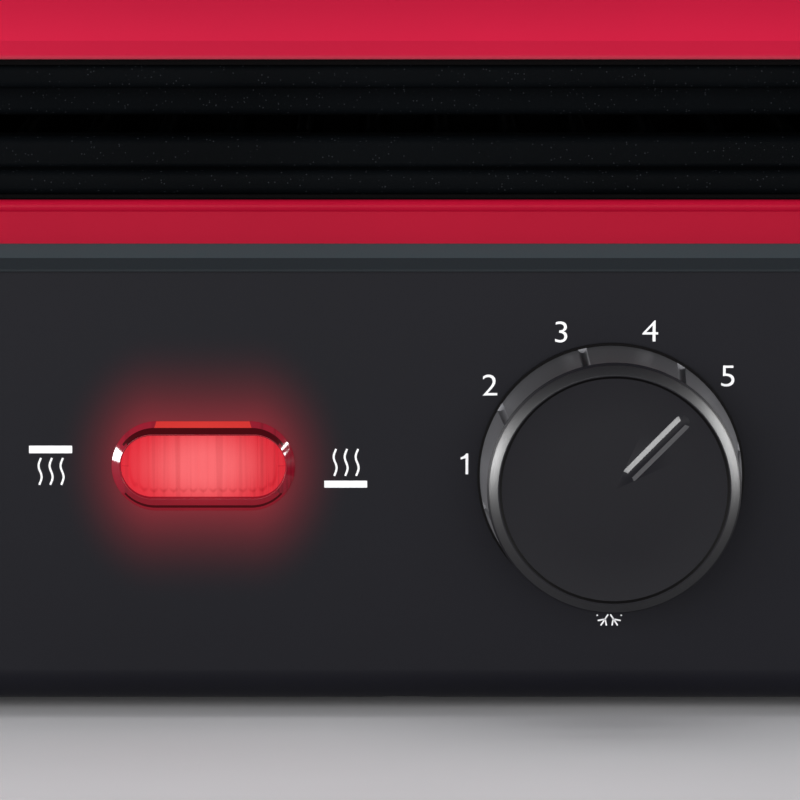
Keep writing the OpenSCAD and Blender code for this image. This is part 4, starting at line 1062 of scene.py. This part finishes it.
@dataclass
class ThermostatKnob:
    """The knob: a tapered skirt with grip notches, a fine groove, a bevel and a face with a pointer."""

    x: float = 28.0
    z: float = 34.3
    skirt_r: float = 18.0
    height: float = 12.8
    face_in: float = 0.34
    face_r: float = 15.65
    face_round: float = 0.1
    foot_lip: float = 0.35
    # Points of the half section as radius and drop below the top.
    bevel: Point2 = (17.0, 0.9)
    groove: Point2 = (16.75, 1.2)
    skirt_top: Point2 = (17.22, 1.45)
    skirt: tuple[Point2, ...] = ((17.24, 1.75), (17.26, 2.1), (17.29, 2.5), (17.33, 3.0), (17.4, 4.0),
                                 (17.6, 6.8), (17.82, 9.8))
    # The inside as radius, height and rounding.
    hollow: tuple[Point3, ...] = ((16.1, 0.5, 0.15), (15.6, 9.6, 0.4), (5.0, 9.6, 0.3), (5.0, 2.5, 0.2),
                                  (3.3, 2.5, 0), (3.3, 9.0, 0), (0.02, 9.0, 0))
    notch_first: float = 13.0
    notch_count: int = 8
    notch_half: float = 1.8
    notch_depth: float = 0.55
    notch_drop: float = 1.7
    notch_end: float = 0.9
    # Heights between which the skirt is notched.
    notched: Point2 = (0.7, 11.4)
    pointer_angle: float = 45.5
    pointer_span: Point2 = (2.0, 13.9)
    pointer_top: float = 0.42
    pointer_flank: float = 0.66
    pointer_rise: float = 0.27
    # Where finishes change: the step's radius, from where the step is painted shade, the skirt's radius and
    # drop, and the drop below the top.
    step_zone_r: float = 14.9
    skirt_zone: Point2 = (16.5, 1.6)
    top_zone: float = 1.0

    def outline(self) -> list[Point2]:
        """Half section from the face's middle to the underside, as (radius, height).

        Returns:
            The points.
        """
        top, face, ease = self.height, self.height - self.face_in, self.face_round
        (bevel_r, bevel_drop), (groove_r, groove_drop) = self.bevel, self.groove
        neck_r, neck_drop = self.skirt_top
        lip_r = self.skirt_r + self.foot_lip
        return fillet([
            (0.02, face + 0.05, 0), (9.0, face + 0.03, 0), (15.25, face, ease),
            (self.face_r - ease, top, ease), (self.face_r + ease, top, 0.12),
            (bevel_r, top - bevel_drop, 0.14), (groove_r, top - groove_drop, 0.05),
            (neck_r, top - neck_drop, 0.15),
            *((radius, top - drop, 0) for radius, drop in self.skirt),
            (self.skirt_r, 0.85, 0.05), (lip_r, 0.8, 0.05), (lip_r, 0.5, 0.05), *self.hollow], 3)

    def notch(self, angle: float, height: float) -> float:
        """How deep the skirt is cut in.

        Args:
            angle: the angle round the knob in degrees.
            height: the height above the panel.
        Returns:
            The depth.
        """
        step = 360 / self.notch_count
        off = abs((angle - self.notch_first + step / 2) % step - step / 2) / self.notch_half
        end = max(0.0, min(1.0, (self.height - self.notch_drop - height) / self.notch_end))
        return self.notch_depth * math.sqrt(max(0.0, 1 - off * off)) * math.sqrt(end)

    def cap(self) -> bpy.types.Mesh:
        """The turned body with its notches.

        Returns:
            The mesh, along Z and in millimetres.
        """
        loops = []
        low, high = self.notched
        for radius, height in self.outline():
            loop = circle(1.0, height, 720)
            gripped = self.bevel[0] < radius < self.skirt_r + 0.01 and low < height < high
            for half_degree, point in enumerate(loop):
                point.xy *= radius - (self.notch(half_degree / 2, height) if gripped else 0.0)
            loops.append(loop)
        return plain_mesh("knob", skin(loops))

    def pointer(self) -> bpy.types.Mesh:
        """The raised pointer with sloping flanks.

        Returns:
            The mesh, in place on the cap.
        """
        low, high = self.pointer_span
        half, face = (high - low) / 2, self.height - self.face_in
        wide = self.pointer_top + self.pointer_flank
        rows = [(wide, -0.5), (wide, 0.03), (self.pointer_top, self.pointer_rise)]
        ridge = skin([round_loop(half - wide + r, r, r, face + z, 8) for r, z in rows])
        turn = Matrix.Rotation(math.radians(self.pointer_angle), 4, "Z")
        ridge.transform(turn @ Matrix.Translation(((low + high) / 2, 0, 0)))
        return plain_mesh("pointer", ridge)

    def zone(self, middle: Vector, normal: Vector) -> int:
        """Which finish a face takes: 0 body, 1 bevel, 2 skirt, 3 painted highlight on the pointer's long
        flanks, 4 painted shade on the step and the foot lip.

        Args:
            middle: the face's middle, along Z and in millimetres.
            normal: the face's normal.
        Returns:
            The material index.
        """
        radius, drop = middle.xy.length, self.height - middle.z
        turn = math.radians(self.pointer_angle)
        skirt_from, skirt_below = self.skirt_zone
        # Painted shade on the foot lip against the panel.
        if radius > self.skirt_r - 0.02:
            return 4
        if radius > skirt_from and drop > skirt_below:
            return 2
        if drop > self.top_zone or abs(normal.z) > 0.97:
            return 0
        if radius > self.face_r:
            return 1
        # Painted shade on the step round the face.
        if radius > self.step_zone_r:
            return 4
        lengthwise = normal.x * math.cos(turn) + normal.y * math.sin(turn)
        return 3 if radius > 1.0 and abs(lengthwise) < 0.15 else 0

    def build(self) -> bpy.types.Object:
        """Joins cap and pointer and gives each zone its finish.

        Returns:
            The knob.
        """
        made = cut(self.cap(), self.pointer(), "UNION")
        for face in made.polygons:
            face.material_index = self.zone(face.center, face.normal)
        made.transform(Matrix.Scale(MM, 4) @ on_panel(self.x, self.z))
        return settle("knob_cap", made, (KNOB, KNOB_EDGE, KNOB_SKIRT, KNOB_PAINTED_GLINT, BLACK_AND_PAINTED_SHADE), Body.KNOB,
                      ["thermostat_knob"], sharp=24.0)


@dataclass
class PilotLight:
    """The lit lens: a raised rim with a sloping flank round a sunken window with upright flutes."""

    x: float = -28.0
    z: float = 35.5
    width: float = 25.2
    height: float = 12.4
    rim_x: float = 1.4
    rim_z: float = 2.1
    foot: float = 0.25
    crest: float = 1.18
    flank: float = 1.12
    flank_rows: Point3 = (0.28, 0.54, 0.83)
    flute_pitch: float = 1.36
    flute_height: float = 0.32
    window_out: float = 0.35
    tuck: float = 0.17
    # Where finishes change, painted glow and painted shade among them: shares of the climb from foot to
    # crest, then shares of the height.
    crest_zone: float = 0.96
    band_zone: Point2 = (0.25, 0.48)
    upper_zone: float = 0.25
    lower_zone: float = -0.3

    def zone(self, middle: Vector, normal: Vector) -> int:
        """Which finish a face of the rim takes: 0 clear end, 1 painted glow on the lit edge, 2 dull wall, 3
        band of painted shade.

        Args:
            middle: the face's middle in millimetres, with Z out of the panel.
            normal: the face's normal.
        Returns:
            The material index.
        """
        climb = (middle.z - self.foot) / (self.crest - self.foot)
        straight = abs(middle.x) < (self.width - self.height) / 2
        low, high = self.band_zone
        if climb > self.crest_zone or middle.xy.dot(normal.xy) < 0:
            return 2
        # Painted glow on the straight lit edge, and painted shade in bands on the flank.
        if middle.y > 0 and climb < high:
            return 1 if straight else 0
        if middle.y > 0:
            return 3 if middle.y > self.height * self.upper_zone else 0
        if middle.y < self.height * self.lower_zone:
            return 3 if low < climb < high else 2
        return 0

    def ring(self) -> bmesh.types.BMesh:
        """The raised rim, with the zones of its glow, painted glow and painted shade marked by material
        index.

        Returns:
            The mesh in millimetres, out of the panel along Z.
        """
        rise = (self.crest - self.foot) / self.flank
        slope = [(inset, self.foot + inset * rise, 0.0) for inset in self.flank_rows]
        outline = fillet([
            (0.0, -0.4, 0), (0.0, self.foot, 0.08), *slope, (self.flank, self.crest, 0.06),
            (self.flank + 0.1, self.crest, 0.06), (self.rim_x - 0.1, self.window_out, 0.0),
            (self.rim_x, 0.0, 0)])
        half_x, half_y, ratio = self.width / 2, self.height / 2, self.rim_z / self.rim_x
        loops = [round_loop(half_x - i, half_y - i * ratio, half_y - i * ratio, z, 28) for i, z in outline]
        made = skin(loops, capped=False)
        for face in made.faces:
            face.material_index = self.zone(face.calc_center_median(), face.normal)
        return made

    def flute_tree(self) -> GrowthTree:
        """The tree that makes the fluted window.

        Returns:
            The tree.
        """
        grown = GrowthTree("fluted_window", Float="Straight Radius Pitch Height")
        bench, given, at = grown.bench, grown.given, grown.at()
        wide = bench.times(bench.plus(given["Straight"], given["Radius"]), 2.0)
        tall = bench.times(given["Radius"], 2.0)
        sheet = bench.out("GeometryNodeMeshGrid", {
            "Size X": wide, "Size Y": tall, "Vertices X": 241, "Vertices Y": 61})
        beyond = bench.larger(bench.minus(bench.size_of(at["X"]), given["Straight"]), 0.0)
        inside = bench.minus(given["Radius"], bench.distance(beyond, at["Y"]))
        phase = bench.maths("FRACT", bench.plus(bench.over(at["X"], given["Pitch"]), 0.5))
        off = bench.times(bench.size_of(bench.minus(phase, 0.5)), 2.0)
        bow = bench.maths("SQRT", bench.minus(1.0, bench.squared(bench.times(off, 0.98))))
        round_end = bench.ease(bench.minus(inside, bench.times(off, 0.0004)), 0.0004, 0.0012)
        end = bench.larger(round_end, bench.maths("GREATER_THAN", at["Y"], 0.0))
        fluted = grown.move(sheet, Z=bench.times(bench.times(bow, end), given["Height"]))
        spare = bench.maths("LESS_THAN", inside, -0.00008)
        trimmed = bench.out("GeometryNodeDeleteGeometry", {"Geometry": fluted, "Selection": spare})
        grown.close(trimmed, smooth=True)
        return grown

    def build(self) -> bpy.types.Object:
        """Makes the rim and the window.

        Returns:
            The rim.
        """
        rim = settle("lens_ring", self.ring(), (LENS_RIM, LENS_PAINTED_GLOW, LENS_WALL, LENS_PAINTED_SHADE), Body.BASE,
                     ["indicator_lens"], sharp=60.0, place=on_panel(self.x, self.z))
        radius = self.height / 2 - self.rim_z + self.tuck
        straight = self.width / 2 - self.rim_x + self.tuck - radius
        window = self.flute_tree().grow(WINDOW, Straight=straight * MM, Radius=radius * MM,
                                        Pitch=self.flute_pitch * MM, Height=self.flute_height * MM)
        place = on_panel(self.x, self.z, self.window_out)
        window.transform(Matrix.Scale(MM, 4) @ place @ Matrix.Scale(1 / MM, 4))
        settle("lens_window_pane", window, WINDOW, Body.BASE, (), sharp=50.0)
        return rim


@dataclass
class PanelMarks:
    """White print on the panel: dial numbers, two heating pictograms and a small symbol, in millimetres."""

    digits: tuple[tuple[str, float, float], ...] = (
        ("1", 7.8, 35.77), ("2", 11.37, 46.73), ("3", 21.1, 54.08), ("4", 33.29, 54.22), ("5", 43.97, 47.98))
    digit_h: float = 2.9
    digit_wide: float = 1.13
    digit_bold: float = -0.007
    one_right: float = 0.62
    one_top: float = 1.45
    ink: float = 0.02
    # Each pictogram's name, its bar as left, bottom, right and top, and the middle of its waves.
    pictures: tuple[tuple[str, tuple[float, float, float, float], Point2], ...] = (
        ("heat_above", (-51.93, 37.25, -46.0, 38.3), (-48.93, 34.72)),
        ("heat_below", (-11.37, 32.45, -5.48, 33.42), (-8.36, 35.97)))
    bar_corner: float = 0.06
    wave_count: int = 3
    wave_h: float = 3.75
    wave_gap: float = 1.51
    wave_swing: float = 0.2
    stroke: float = 0.28
    symbol: Point2 = (27.95, 13.9)
    symbol_half: float = 0.105
    symbol_strokes: tuple[tuple[Point2, Point2], ...] = (
        ((0.2, 0.7), (1.12, -0.72)), ((1.51, -0.08), (0.74, 0.06)), ((0.55, 0.06), (0.4, -0.72)),
        ((1.64, 0.64), (1.68, 0.64)))

    def digit(self, text: str) -> bpy.types.Mesh:
        """The flat mesh of a digit, centred, widened and of the right height.

        Args:
            text: the digit.
        Returns:
            The mesh in millimetres.
        """
        curve = bpy.data.curves.new("digit", "FONT")
        curve.body, curve.size, curve.offset = text, 1.0, self.digit_bold
        curve.resolution_u = 8
        flat = baked(in_scene("digit", curve))
        xs, ys = [v.co.x for v in flat.vertices], [v.co.y for v in flat.vertices]
        scale = self.digit_h / (max(ys) - min(ys))
        centre = Vector(((max(xs) + min(xs)) / 2, (max(ys) + min(ys)) / 2, 0))
        grown = Matrix.Diagonal((scale * self.digit_wide, scale, scale, 1.0))
        flat.transform(grown @ Matrix.Translation(-centre))
        return flat

    def figure_one(self) -> bpy.types.Mesh:
        """The digit 1 with a short flag, centred.

        Returns:
            The mesh in millimetres.
        """
        edge = ((0.0, self.digit_h), (0.0, 0.0), (0.3, 0.0), (0.55, 0.33), (1.05, 0.56), (1.05, 0.86),
                (0.37, 0.66), (0.37, self.digit_h))
        made = bmesh.new()
        made.faces.new([made.verts.new((self.one_right - x, self.one_top - y, 0.0)) for x, y in edge])
        return plain_mesh("figure_one", made)

    def numbers(self) -> None:
        """Makes the dial's numbers as one thin mesh."""
        whole = bmesh.new()
        for text, x, z in self.digits:
            flat = self.figure_one() if text == "1" else self.digit(text)
            flat.transform(on_panel(x, z, self.ink))
            whole.from_mesh(flat)
        bmesh.ops.recalc_face_normals(whole, faces=whole.faces)
        for face in whole.faces:
            if face.normal.y > 0:
                face.normal_flip()
        settle("dial_numbers", whole, INK, Body.BASE)

    def wave_tree(self) -> GrowthTree:
        """The tree that draws wavy strokes side by side.

        Returns:
            The tree.
        """
        grown = GrowthTree("wavy_strokes", Int="Count", Float="Gap Height Swing Stroke")
        bench, given = grown.bench, grown.given
        top, foot = [bench.vector(Y=bench.times(given["Height"], end)) for end in (0.5, -0.5)]
        line = bench.out("GeometryNodeCurvePrimitiveLine", {"Start": top, "End": foot})
        fine = bench.out("GeometryNodeResampleCurve", {"Curve": line, "Count": 40})
        along = bench.out("GeometryNodeSplineParameter")
        turn = bench.times(bench.minus(bench.times(along, 1.22), 0.11), math.tau)
        wavy = grown.move(fine, X=bench.times(bench.maths("SINE", turn), bench.times(given["Swing"], -1.0)))
        ring = bench.out("GeometryNodeCurvePrimitiveCircle", {
            "Resolution": 12, "Radius": bench.times(given["Stroke"], 0.5)})
        tube = bench.out("GeometryNodeCurveToMesh", {"Curve": wavy, "Profile Curve": ring, "Fill Caps": True})
        flat = bench.out("GeometryNodeTransform", {"Geometry": tube, "Scale": (1.0, 1.0, 0.12)})
        start = bench.vector(X=bench.times(given["Gap"], -1.0))
        grown.close(grown.line_up(flat, given["Count"], start, given["Gap"]))
        return grown

    def bar(self, half_x: float, half_y: float, corner: float, steps: int, place: Matrix) -> bpy.types.Mesh:
        """A thin printed bar.

        Args:
            half_x, half_y: half sizes.
            corner: corner radius.
            steps: pieces in each corner.
            place: where it goes.
        Returns:
            The mesh in millimetres.
        """
        slab = skin([round_loop(half_x, half_y, corner, h, steps) for h in (-0.02, self.ink)])
        slab.transform(place)
        return plain_mesh("bar", slab)

    def pictograms(self) -> None:
        """Makes the waves and the bar of each heating pictogram."""
        tree = self.wave_tree()
        for name, (x0, z0, x1, z1), (x, z) in self.pictures:
            waves = tree.grow(INK, Count=self.wave_count, Gap=self.wave_gap * MM, Height=self.wave_h * MM,
                              Swing=self.wave_swing * MM, Stroke=self.stroke * MM)
            waves.transform(Matrix.Scale(1 / MM, 4))
            waves.transform(on_panel(x, z, self.ink))
            whole = bmesh.new()
            whole.from_mesh(waves)
            middle = on_panel((x0 + x1) / 2, (z0 + z1) / 2)
            whole.from_mesh(self.bar((x1 - x0) / 2, (z1 - z0) / 2, self.bar_corner, 3, middle))
            settle(name, whole, INK, Body.BASE)

    def low_symbol(self) -> None:
        """Makes the small pair of branching strokes under the knob."""
        whole = bmesh.new()
        for side in (-1, 1):
            for (ax, ay), (bx, by) in self.symbol_strokes:
                a, b = Vector((side * ax, ay, 0)), Vector((side * bx, by, 0))
                way = b - a
                spin = Matrix.Rotation(math.atan2(way.y, way.x), 4, "Z")
                place = on_panel(*self.symbol) @ Matrix.Translation((a + b) / 2) @ spin
                whole.from_mesh(self.bar(way.length / 2 + 0.1, self.symbol_half, 0.1, 4, place))
        settle("dial_symbol", whole, INK, Body.BASE)

    def build(self) -> None:
        """Prints all the marks."""
        self.numbers()
        self.pictograms()
        self.low_symbol()


@dataclass
class ScrewSet:
    """Pan-head screws with a cross recess, set on their places, in millimetres."""

    radius: float = 3.4
    height: float = 2.2
    recess: float = 1.5
    recess_half: float = 0.36
    # The recess's share of its full size, and its height from the head's top.
    recess_rows: tuple[Point2, ...] = ((0.45, -1.3), (0.8, -0.7), (1.0, 0.5))
    base_z: float = 4.85
    base_places: tuple[Point2, ...] = (
        (-100, -108.5), (100, -108.5), (-60, 106.5), (60, 106.5), (-143.5, -36), (143.5, -36))
    bracket_x: float = 108.0
    bracket_half: float = 17.5
    bracket_y: float = 126.2
    bracket_rows: Point2 = (30.0, 51.0)

    def head(self) -> bpy.types.Mesh:
        """One head with its recess, standing on the origin.

        Returns:
            The mesh in metres.
        """
        outline = fillet([(self.radius, 0.0, 0), (self.radius, self.height * 0.6, 0.5),
                          (self.radius * 0.72, self.height, 0.9), (0.05, self.height, 0)])
        body = skin([circle(r, z, 36) for r, z in outline])
        return cut(plain_mesh("screw_head", body, MM), plain_mesh("screw_recess", self.cross(), MM))

    def cross(self) -> bmesh.types.BMesh:
        """The cross-shaped cutter.

        Returns:
            The mesh in millimetres.
        """
        half = self.recess_half
        arm = [Vector(p) for p in ((self.recess, half, 0), (half, half, 0), (half, self.recess, 0))]
        ring = [Matrix.Rotation(math.pi / 2 * quarter, 3, "Z") @ p for quarter in range(4) for p in arm]
        rows = [(share, self.height + z) for share, z in self.recess_rows]
        return skin([[Vector((p.x * share, p.y * share, z)) for p in ring] for share, z in rows])

    def tree(self) -> GrowthTree:
        """The tree that sets a head on each point of a mesh.

        Returns:
            The tree.
        """
        grown = GrowthTree("screw_places", Object="Head", Vector="Turn")
        bench, given = grown.bench, grown.given
        head = bench.add("GeometryNodeObjectInfo", {"Object": given["Head"]}).outputs["Geometry"]
        spin = bench.out("FunctionNodeRandomValue", {"Min": (0, 0, 0), "Max": (0, 0, math.tau), "Seed": 7},
                         data_type="FLOAT_VECTOR")
        heads = bench.out("GeometryNodeInstanceOnPoints", {
            "Points": given["Geometry"], "Instance": head, "Rotation": given["Turn"]})
        grown.close(bench.out("GeometryNodeRotateInstances", {
            "Instances": heads, "Rotation": spin, "Local Space": True}))
        return grown

    def build(self) -> None:
        """Sets the heads under the base and on the hinge brackets."""
        holder, tree = in_scene("screw_head", self.head()), self.tree()
        under = [(x, y, self.base_z) for x, y in self.base_places]
        rear = [(side * self.bracket_x + off * self.bracket_half, self.bracket_y, z)
                for side in (-1, 1) for off in (-1, 1) for z in self.bracket_rows]
        for name, points, turn in (("base_screw", under, math.pi), ("bracket_screw", rear, -math.pi / 2)):
            seed = bpy.data.meshes.new("screw_points")
            seed.from_pydata([tuple(c * MM for c in p) for p in points], [], [])
            made = tree.grow(ZINC, seed, Head=holder, Turn=(turn, 0, 0))
            settle(name + "_heads", made, ZINC, Body.BASE, [name + "s"])
        bpy.data.objects.remove(holder)


@dataclass
class Mouldings:
    """CAD nodes that keep their shape: fine rounded edges on those that show, and a finish for each."""

    plan: Footprint = field(default_factory=Footprint)
    # How far in from the outline the painted shade behind the rim's lip starts.
    groove_in: float = 6.3
    weld: float = 2e-6
    flat_angle: float = 0.4
    edge_angle: float = 38.0
    crisp_angle: float = 14.0
    crisp: tuple[str, ...] = ("base_deck",)
    # Node, body, finish, slot and rounding in millimetres.
    rounded: tuple[tuple[str, Body, Finish, str, float], ...] = (
        ("base_tub", Body.BASE, GRAPHITE, "graphite_plastic", 0.3),
        ("control_panel", Body.BASE, PANEL, "graphite_plastic", 0.2),
        ("base_deck", Body.BASE, DECK, "deck_plastic", 0.2),
        ("base_rim", Body.BASE, RIM_RED, "rim_red", 0.15),
        ("drip_tray", Body.TRAY, TRAY, "tray_black", 0.5),
        ("hinge_bracket_left", Body.BASE, ARM, "arm_metal", 0.5),
        ("hinge_bracket_right", Body.BASE, ARM, "arm_metal", 0.5),
        ("lid_arm_left", Body.LID, ARM, "arm_metal", 0.8),
        ("lid_arm_right", Body.LID, ARM, "arm_metal", 0.8),
        ("handle_top", Body.LID, HANDLE, "handle_black", 0.25),
        ("handle_bottom", Body.LID, HANDLE, "handle_black", 0.25),
        ("cord_gland", Body.BASE, RUBBER, "foot_rubber", 0.5),
        ("base_feet", Body.BASE, RUBBER, "foot_rubber", 0.5),
        ("hinge_pins", Body.BASE, STEEL, "bright_steel", 0.4),
    )
    # Finish and the nodes that keep their solid.
    plain: tuple[tuple[Finish, str], ...] = (
        (LID_RED, "lid_shell"), (BLACK_AND_PAINTED_SHADE, "lid_frame"), (LAMP, "indicator_lamp"),
        (COPPER, "thermostat_sensor"), (ACETAL, "hinge_sliders lamp_holder"),
        (SHEATH, "lower_element upper_element"), (CERAMIC, "lower_fuse upper_fuse"),
        (SHEET, "lower_shield upper_shield grease_duct"), (RESIN, "thermostat_body terminal_block"),
        (STEEL, "lower_element_clips upper_element_clips hinge_rings handle_rod thermostat_shaft knob_clip"),
        (ZINC, "lower_plate_screws upper_plate_screws rim_screws thermostat_bracket thermostat_screws"),
        (ZINC, "terminal_screws lid_screws arm_screws handle_nuts"))

    def soften(self, node: str, width: float) -> bpy.types.Mesh:
        """A copy of a node's mesh with its sharp edges rounded.

        Args:
            node: the CAD node.
            width: the rounding in millimetres.
        Returns:
            The mesh in metres.
        """
        whole = bmesh.new()
        whole.from_mesh(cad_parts[node].data)
        bmesh.ops.remove_doubles(whole, verts=whole.verts, dist=self.weld)
        flat = math.radians(self.flat_angle)
        bmesh.ops.dissolve_limit(whole, angle_limit=flat, verts=whole.verts, edges=whole.edges)
        bare = plain_mesh(node + "_soft", whole)
        smooth_faces(bare)
        host = in_scene("soften_host", bare)
        step = host.modifiers.new("round", "BEVEL")
        step.width, step.segments, step.limit_method = width * MM, 2, "ANGLE"
        step.angle_limit = math.radians(self.crisp_angle if node in self.crisp else self.edge_angle)
        even = host.modifiers.new("even", "WEIGHTED_NORMAL")
        even.weight, even.keep_sharp = 90, True
        return baked(host)

    def paint_groove_shade(self, rim: bpy.types.Mesh) -> None:
        """Paints shade on the faces behind the rim's lip with the second finish.

        Args:
            rim: the rim's mesh in metres.
        """
        for face in rim.polygons:
            if self.plan.inset(face.center.x / MM, face.center.y / MM) > self.groove_in:
                face.material_index = 1

    def build(self) -> None:
        """Rounds the edges that show and gives every node its finish."""
        for node, body, finish, slot, width in self.rounded:
            mesh, coats = self.soften(node, width), [finish]
            # The faces behind the rim's lip get painted shade.
            if node == "base_rim":
                self.paint_groove_shade(mesh)
                coats.append(BLACK_AND_PAINTED_SHADE)
            settle(node + "_moulded", mesh, coats, body, [node], sharp=0.0)
        for finish, nodes in self.plain:
            for node in nodes.split():
                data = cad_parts[node].data
                data.materials.clear()
                data.materials.append(finish.make())
                LOG.info("%s: %s", node, finish.name)


@dataclass
class Studio:
    """Pale floor, soft lights and the camera at the photograph's view, in metres and degrees."""

    target: Point3 = (-0.00096, -0.126, 0.04478)
    elevation: float = 9.0
    distance: float = 0.65
    lens: float = 213.5
    sensor: float = 36.0
    sky: Colour = (0.86, 0.87, 0.9)
    sky_strength: float = 0.35
    floor_half: float = 9.0
    front: Point3 = (0.0, -0.12, 0.05)
    glint_aim: Point3 = (0.0, -0.15, 0.05)
    catchers: bpy.types.Collection = field(
        default_factory=lambda: bpy.data.collections.new("glint_catchers"))

    def light(self, name: str, place: Point3, aim: Point3, size: Point2, power: float,
              use: LightUse = LightUse.FULL) -> None:
        """Adds a soft rectangular light.

        Args:
            name: its name.
            place: where it stands, in metres.
            aim: the point it looks at.
            size: its width and height.
            power: its power in watts.
            use: what it shows as.
        """
        data = bpy.data.lights.new(name, "AREA")
        data.shape, data.size, data.size_y = "RECTANGLE", *size
        data.energy = power
        lamp = in_scene(name, data)
        lamp.location = place
        lamp.rotation_euler = (Vector(aim) - Vector(place)).to_track_quat("-Z", "Y").to_euler()
        lamp.visible_camera = False
        lamp.visible_diffuse, lamp.visible_glossy = use.value
        if use is LightUse.GLINT:
            lamp.light_linking.receiver_collection = self.catchers

    def catch(self, *pieces: bpy.types.Object) -> None:
        """Lets the glints fall on these pieces."""
        for piece in pieces:
            self.catchers.objects.link(piece)

    def floor(self) -> None:
        """Lays a wide pale floor with a faint unevenness."""
        half = self.floor_half
        mesh = plain_mesh("floor", skin([round_loop(half, half, 2.0, z, 8) for z in (-0.02, 0.0)]))
        mesh.materials.append(FLOOR.make())
        in_scene("floor", mesh)

    def camera(self) -> None:
        """Sets the camera in front of the panel, a little above it."""
        data = bpy.data.cameras.new("camera")
        data.lens, data.sensor_width = self.lens, self.sensor
        data.clip_start, data.clip_end = 0.01, 50.0
        shot = in_scene("camera", data)
        tilt = math.radians(self.elevation)
        back = Vector((0.0, -math.cos(tilt), math.sin(tilt)))
        shot.location = Vector(self.target) + back * self.distance
        shot.rotation_euler = (-back).to_track_quat("-Z", "Y").to_euler()
        bpy.context.scene.camera = shot

    def build(self) -> None:
        """Sets up the floor, the world, the lights and the camera."""
        scene = bpy.context.scene
        scene.view_settings.view_transform = "Standard"
        scene.world = bpy.data.worlds.new("studio")
        scene.world.use_nodes = True
        sky = scene.world.node_tree.nodes["Background"].inputs
        sky["Color"].default_value, sky["Strength"].default_value = (*self.sky, 1.0), self.sky_strength
        self.floor()
        self.light("key_soft", (-0.75, -1.35, 0.42), self.front, (1.4, 0.6), 14.0)
        self.light("fill_soft", (0.7, -1.45, 0.5), self.front, (1.2, 0.6), 6.0)
        self.light("low_front", (0.0, -2.6, 0.24), (0.0, -0.12, 0.03), (2.8, 0.28), 17.0)
        self.light("top_soft", (0.0, -0.15, 1.6), (0.0, -0.1, 0.1), (1.8, 1.2), 16.0, LightUse.WASH)
        self.light("left_glint", (-0.9, -0.25, 0.14), self.glint_aim, (0.7, 0.26), 26.0, LightUse.GLINT)
        for name, height in (("low", 0.06), ("mid", 0.26), ("high", 0.44)):
            self.light(f"right_{name}_glint", (0.9, -0.25, height), self.glint_aim, (0.7, 0.05), 9.0,
                       LightUse.GLINT)
        self.camera()


def main() -> None:
    """Builds the studio and every piece in order."""
    logging.basicConfig(level=logging.INFO, format="%(name)s %(message)s")
    studio = Studio()
    studio.build()
    Mouldings().build()
    ribs = GrillPlate(Side.LOWER).build()
    GrillPlate(Side.UPPER).build(ribs)
    studio.catch(ThermostatKnob().build(), PilotLight().build())
    PanelMarks().build()
    ScrewSet().build()


if __name__ == "__main__":
    main()
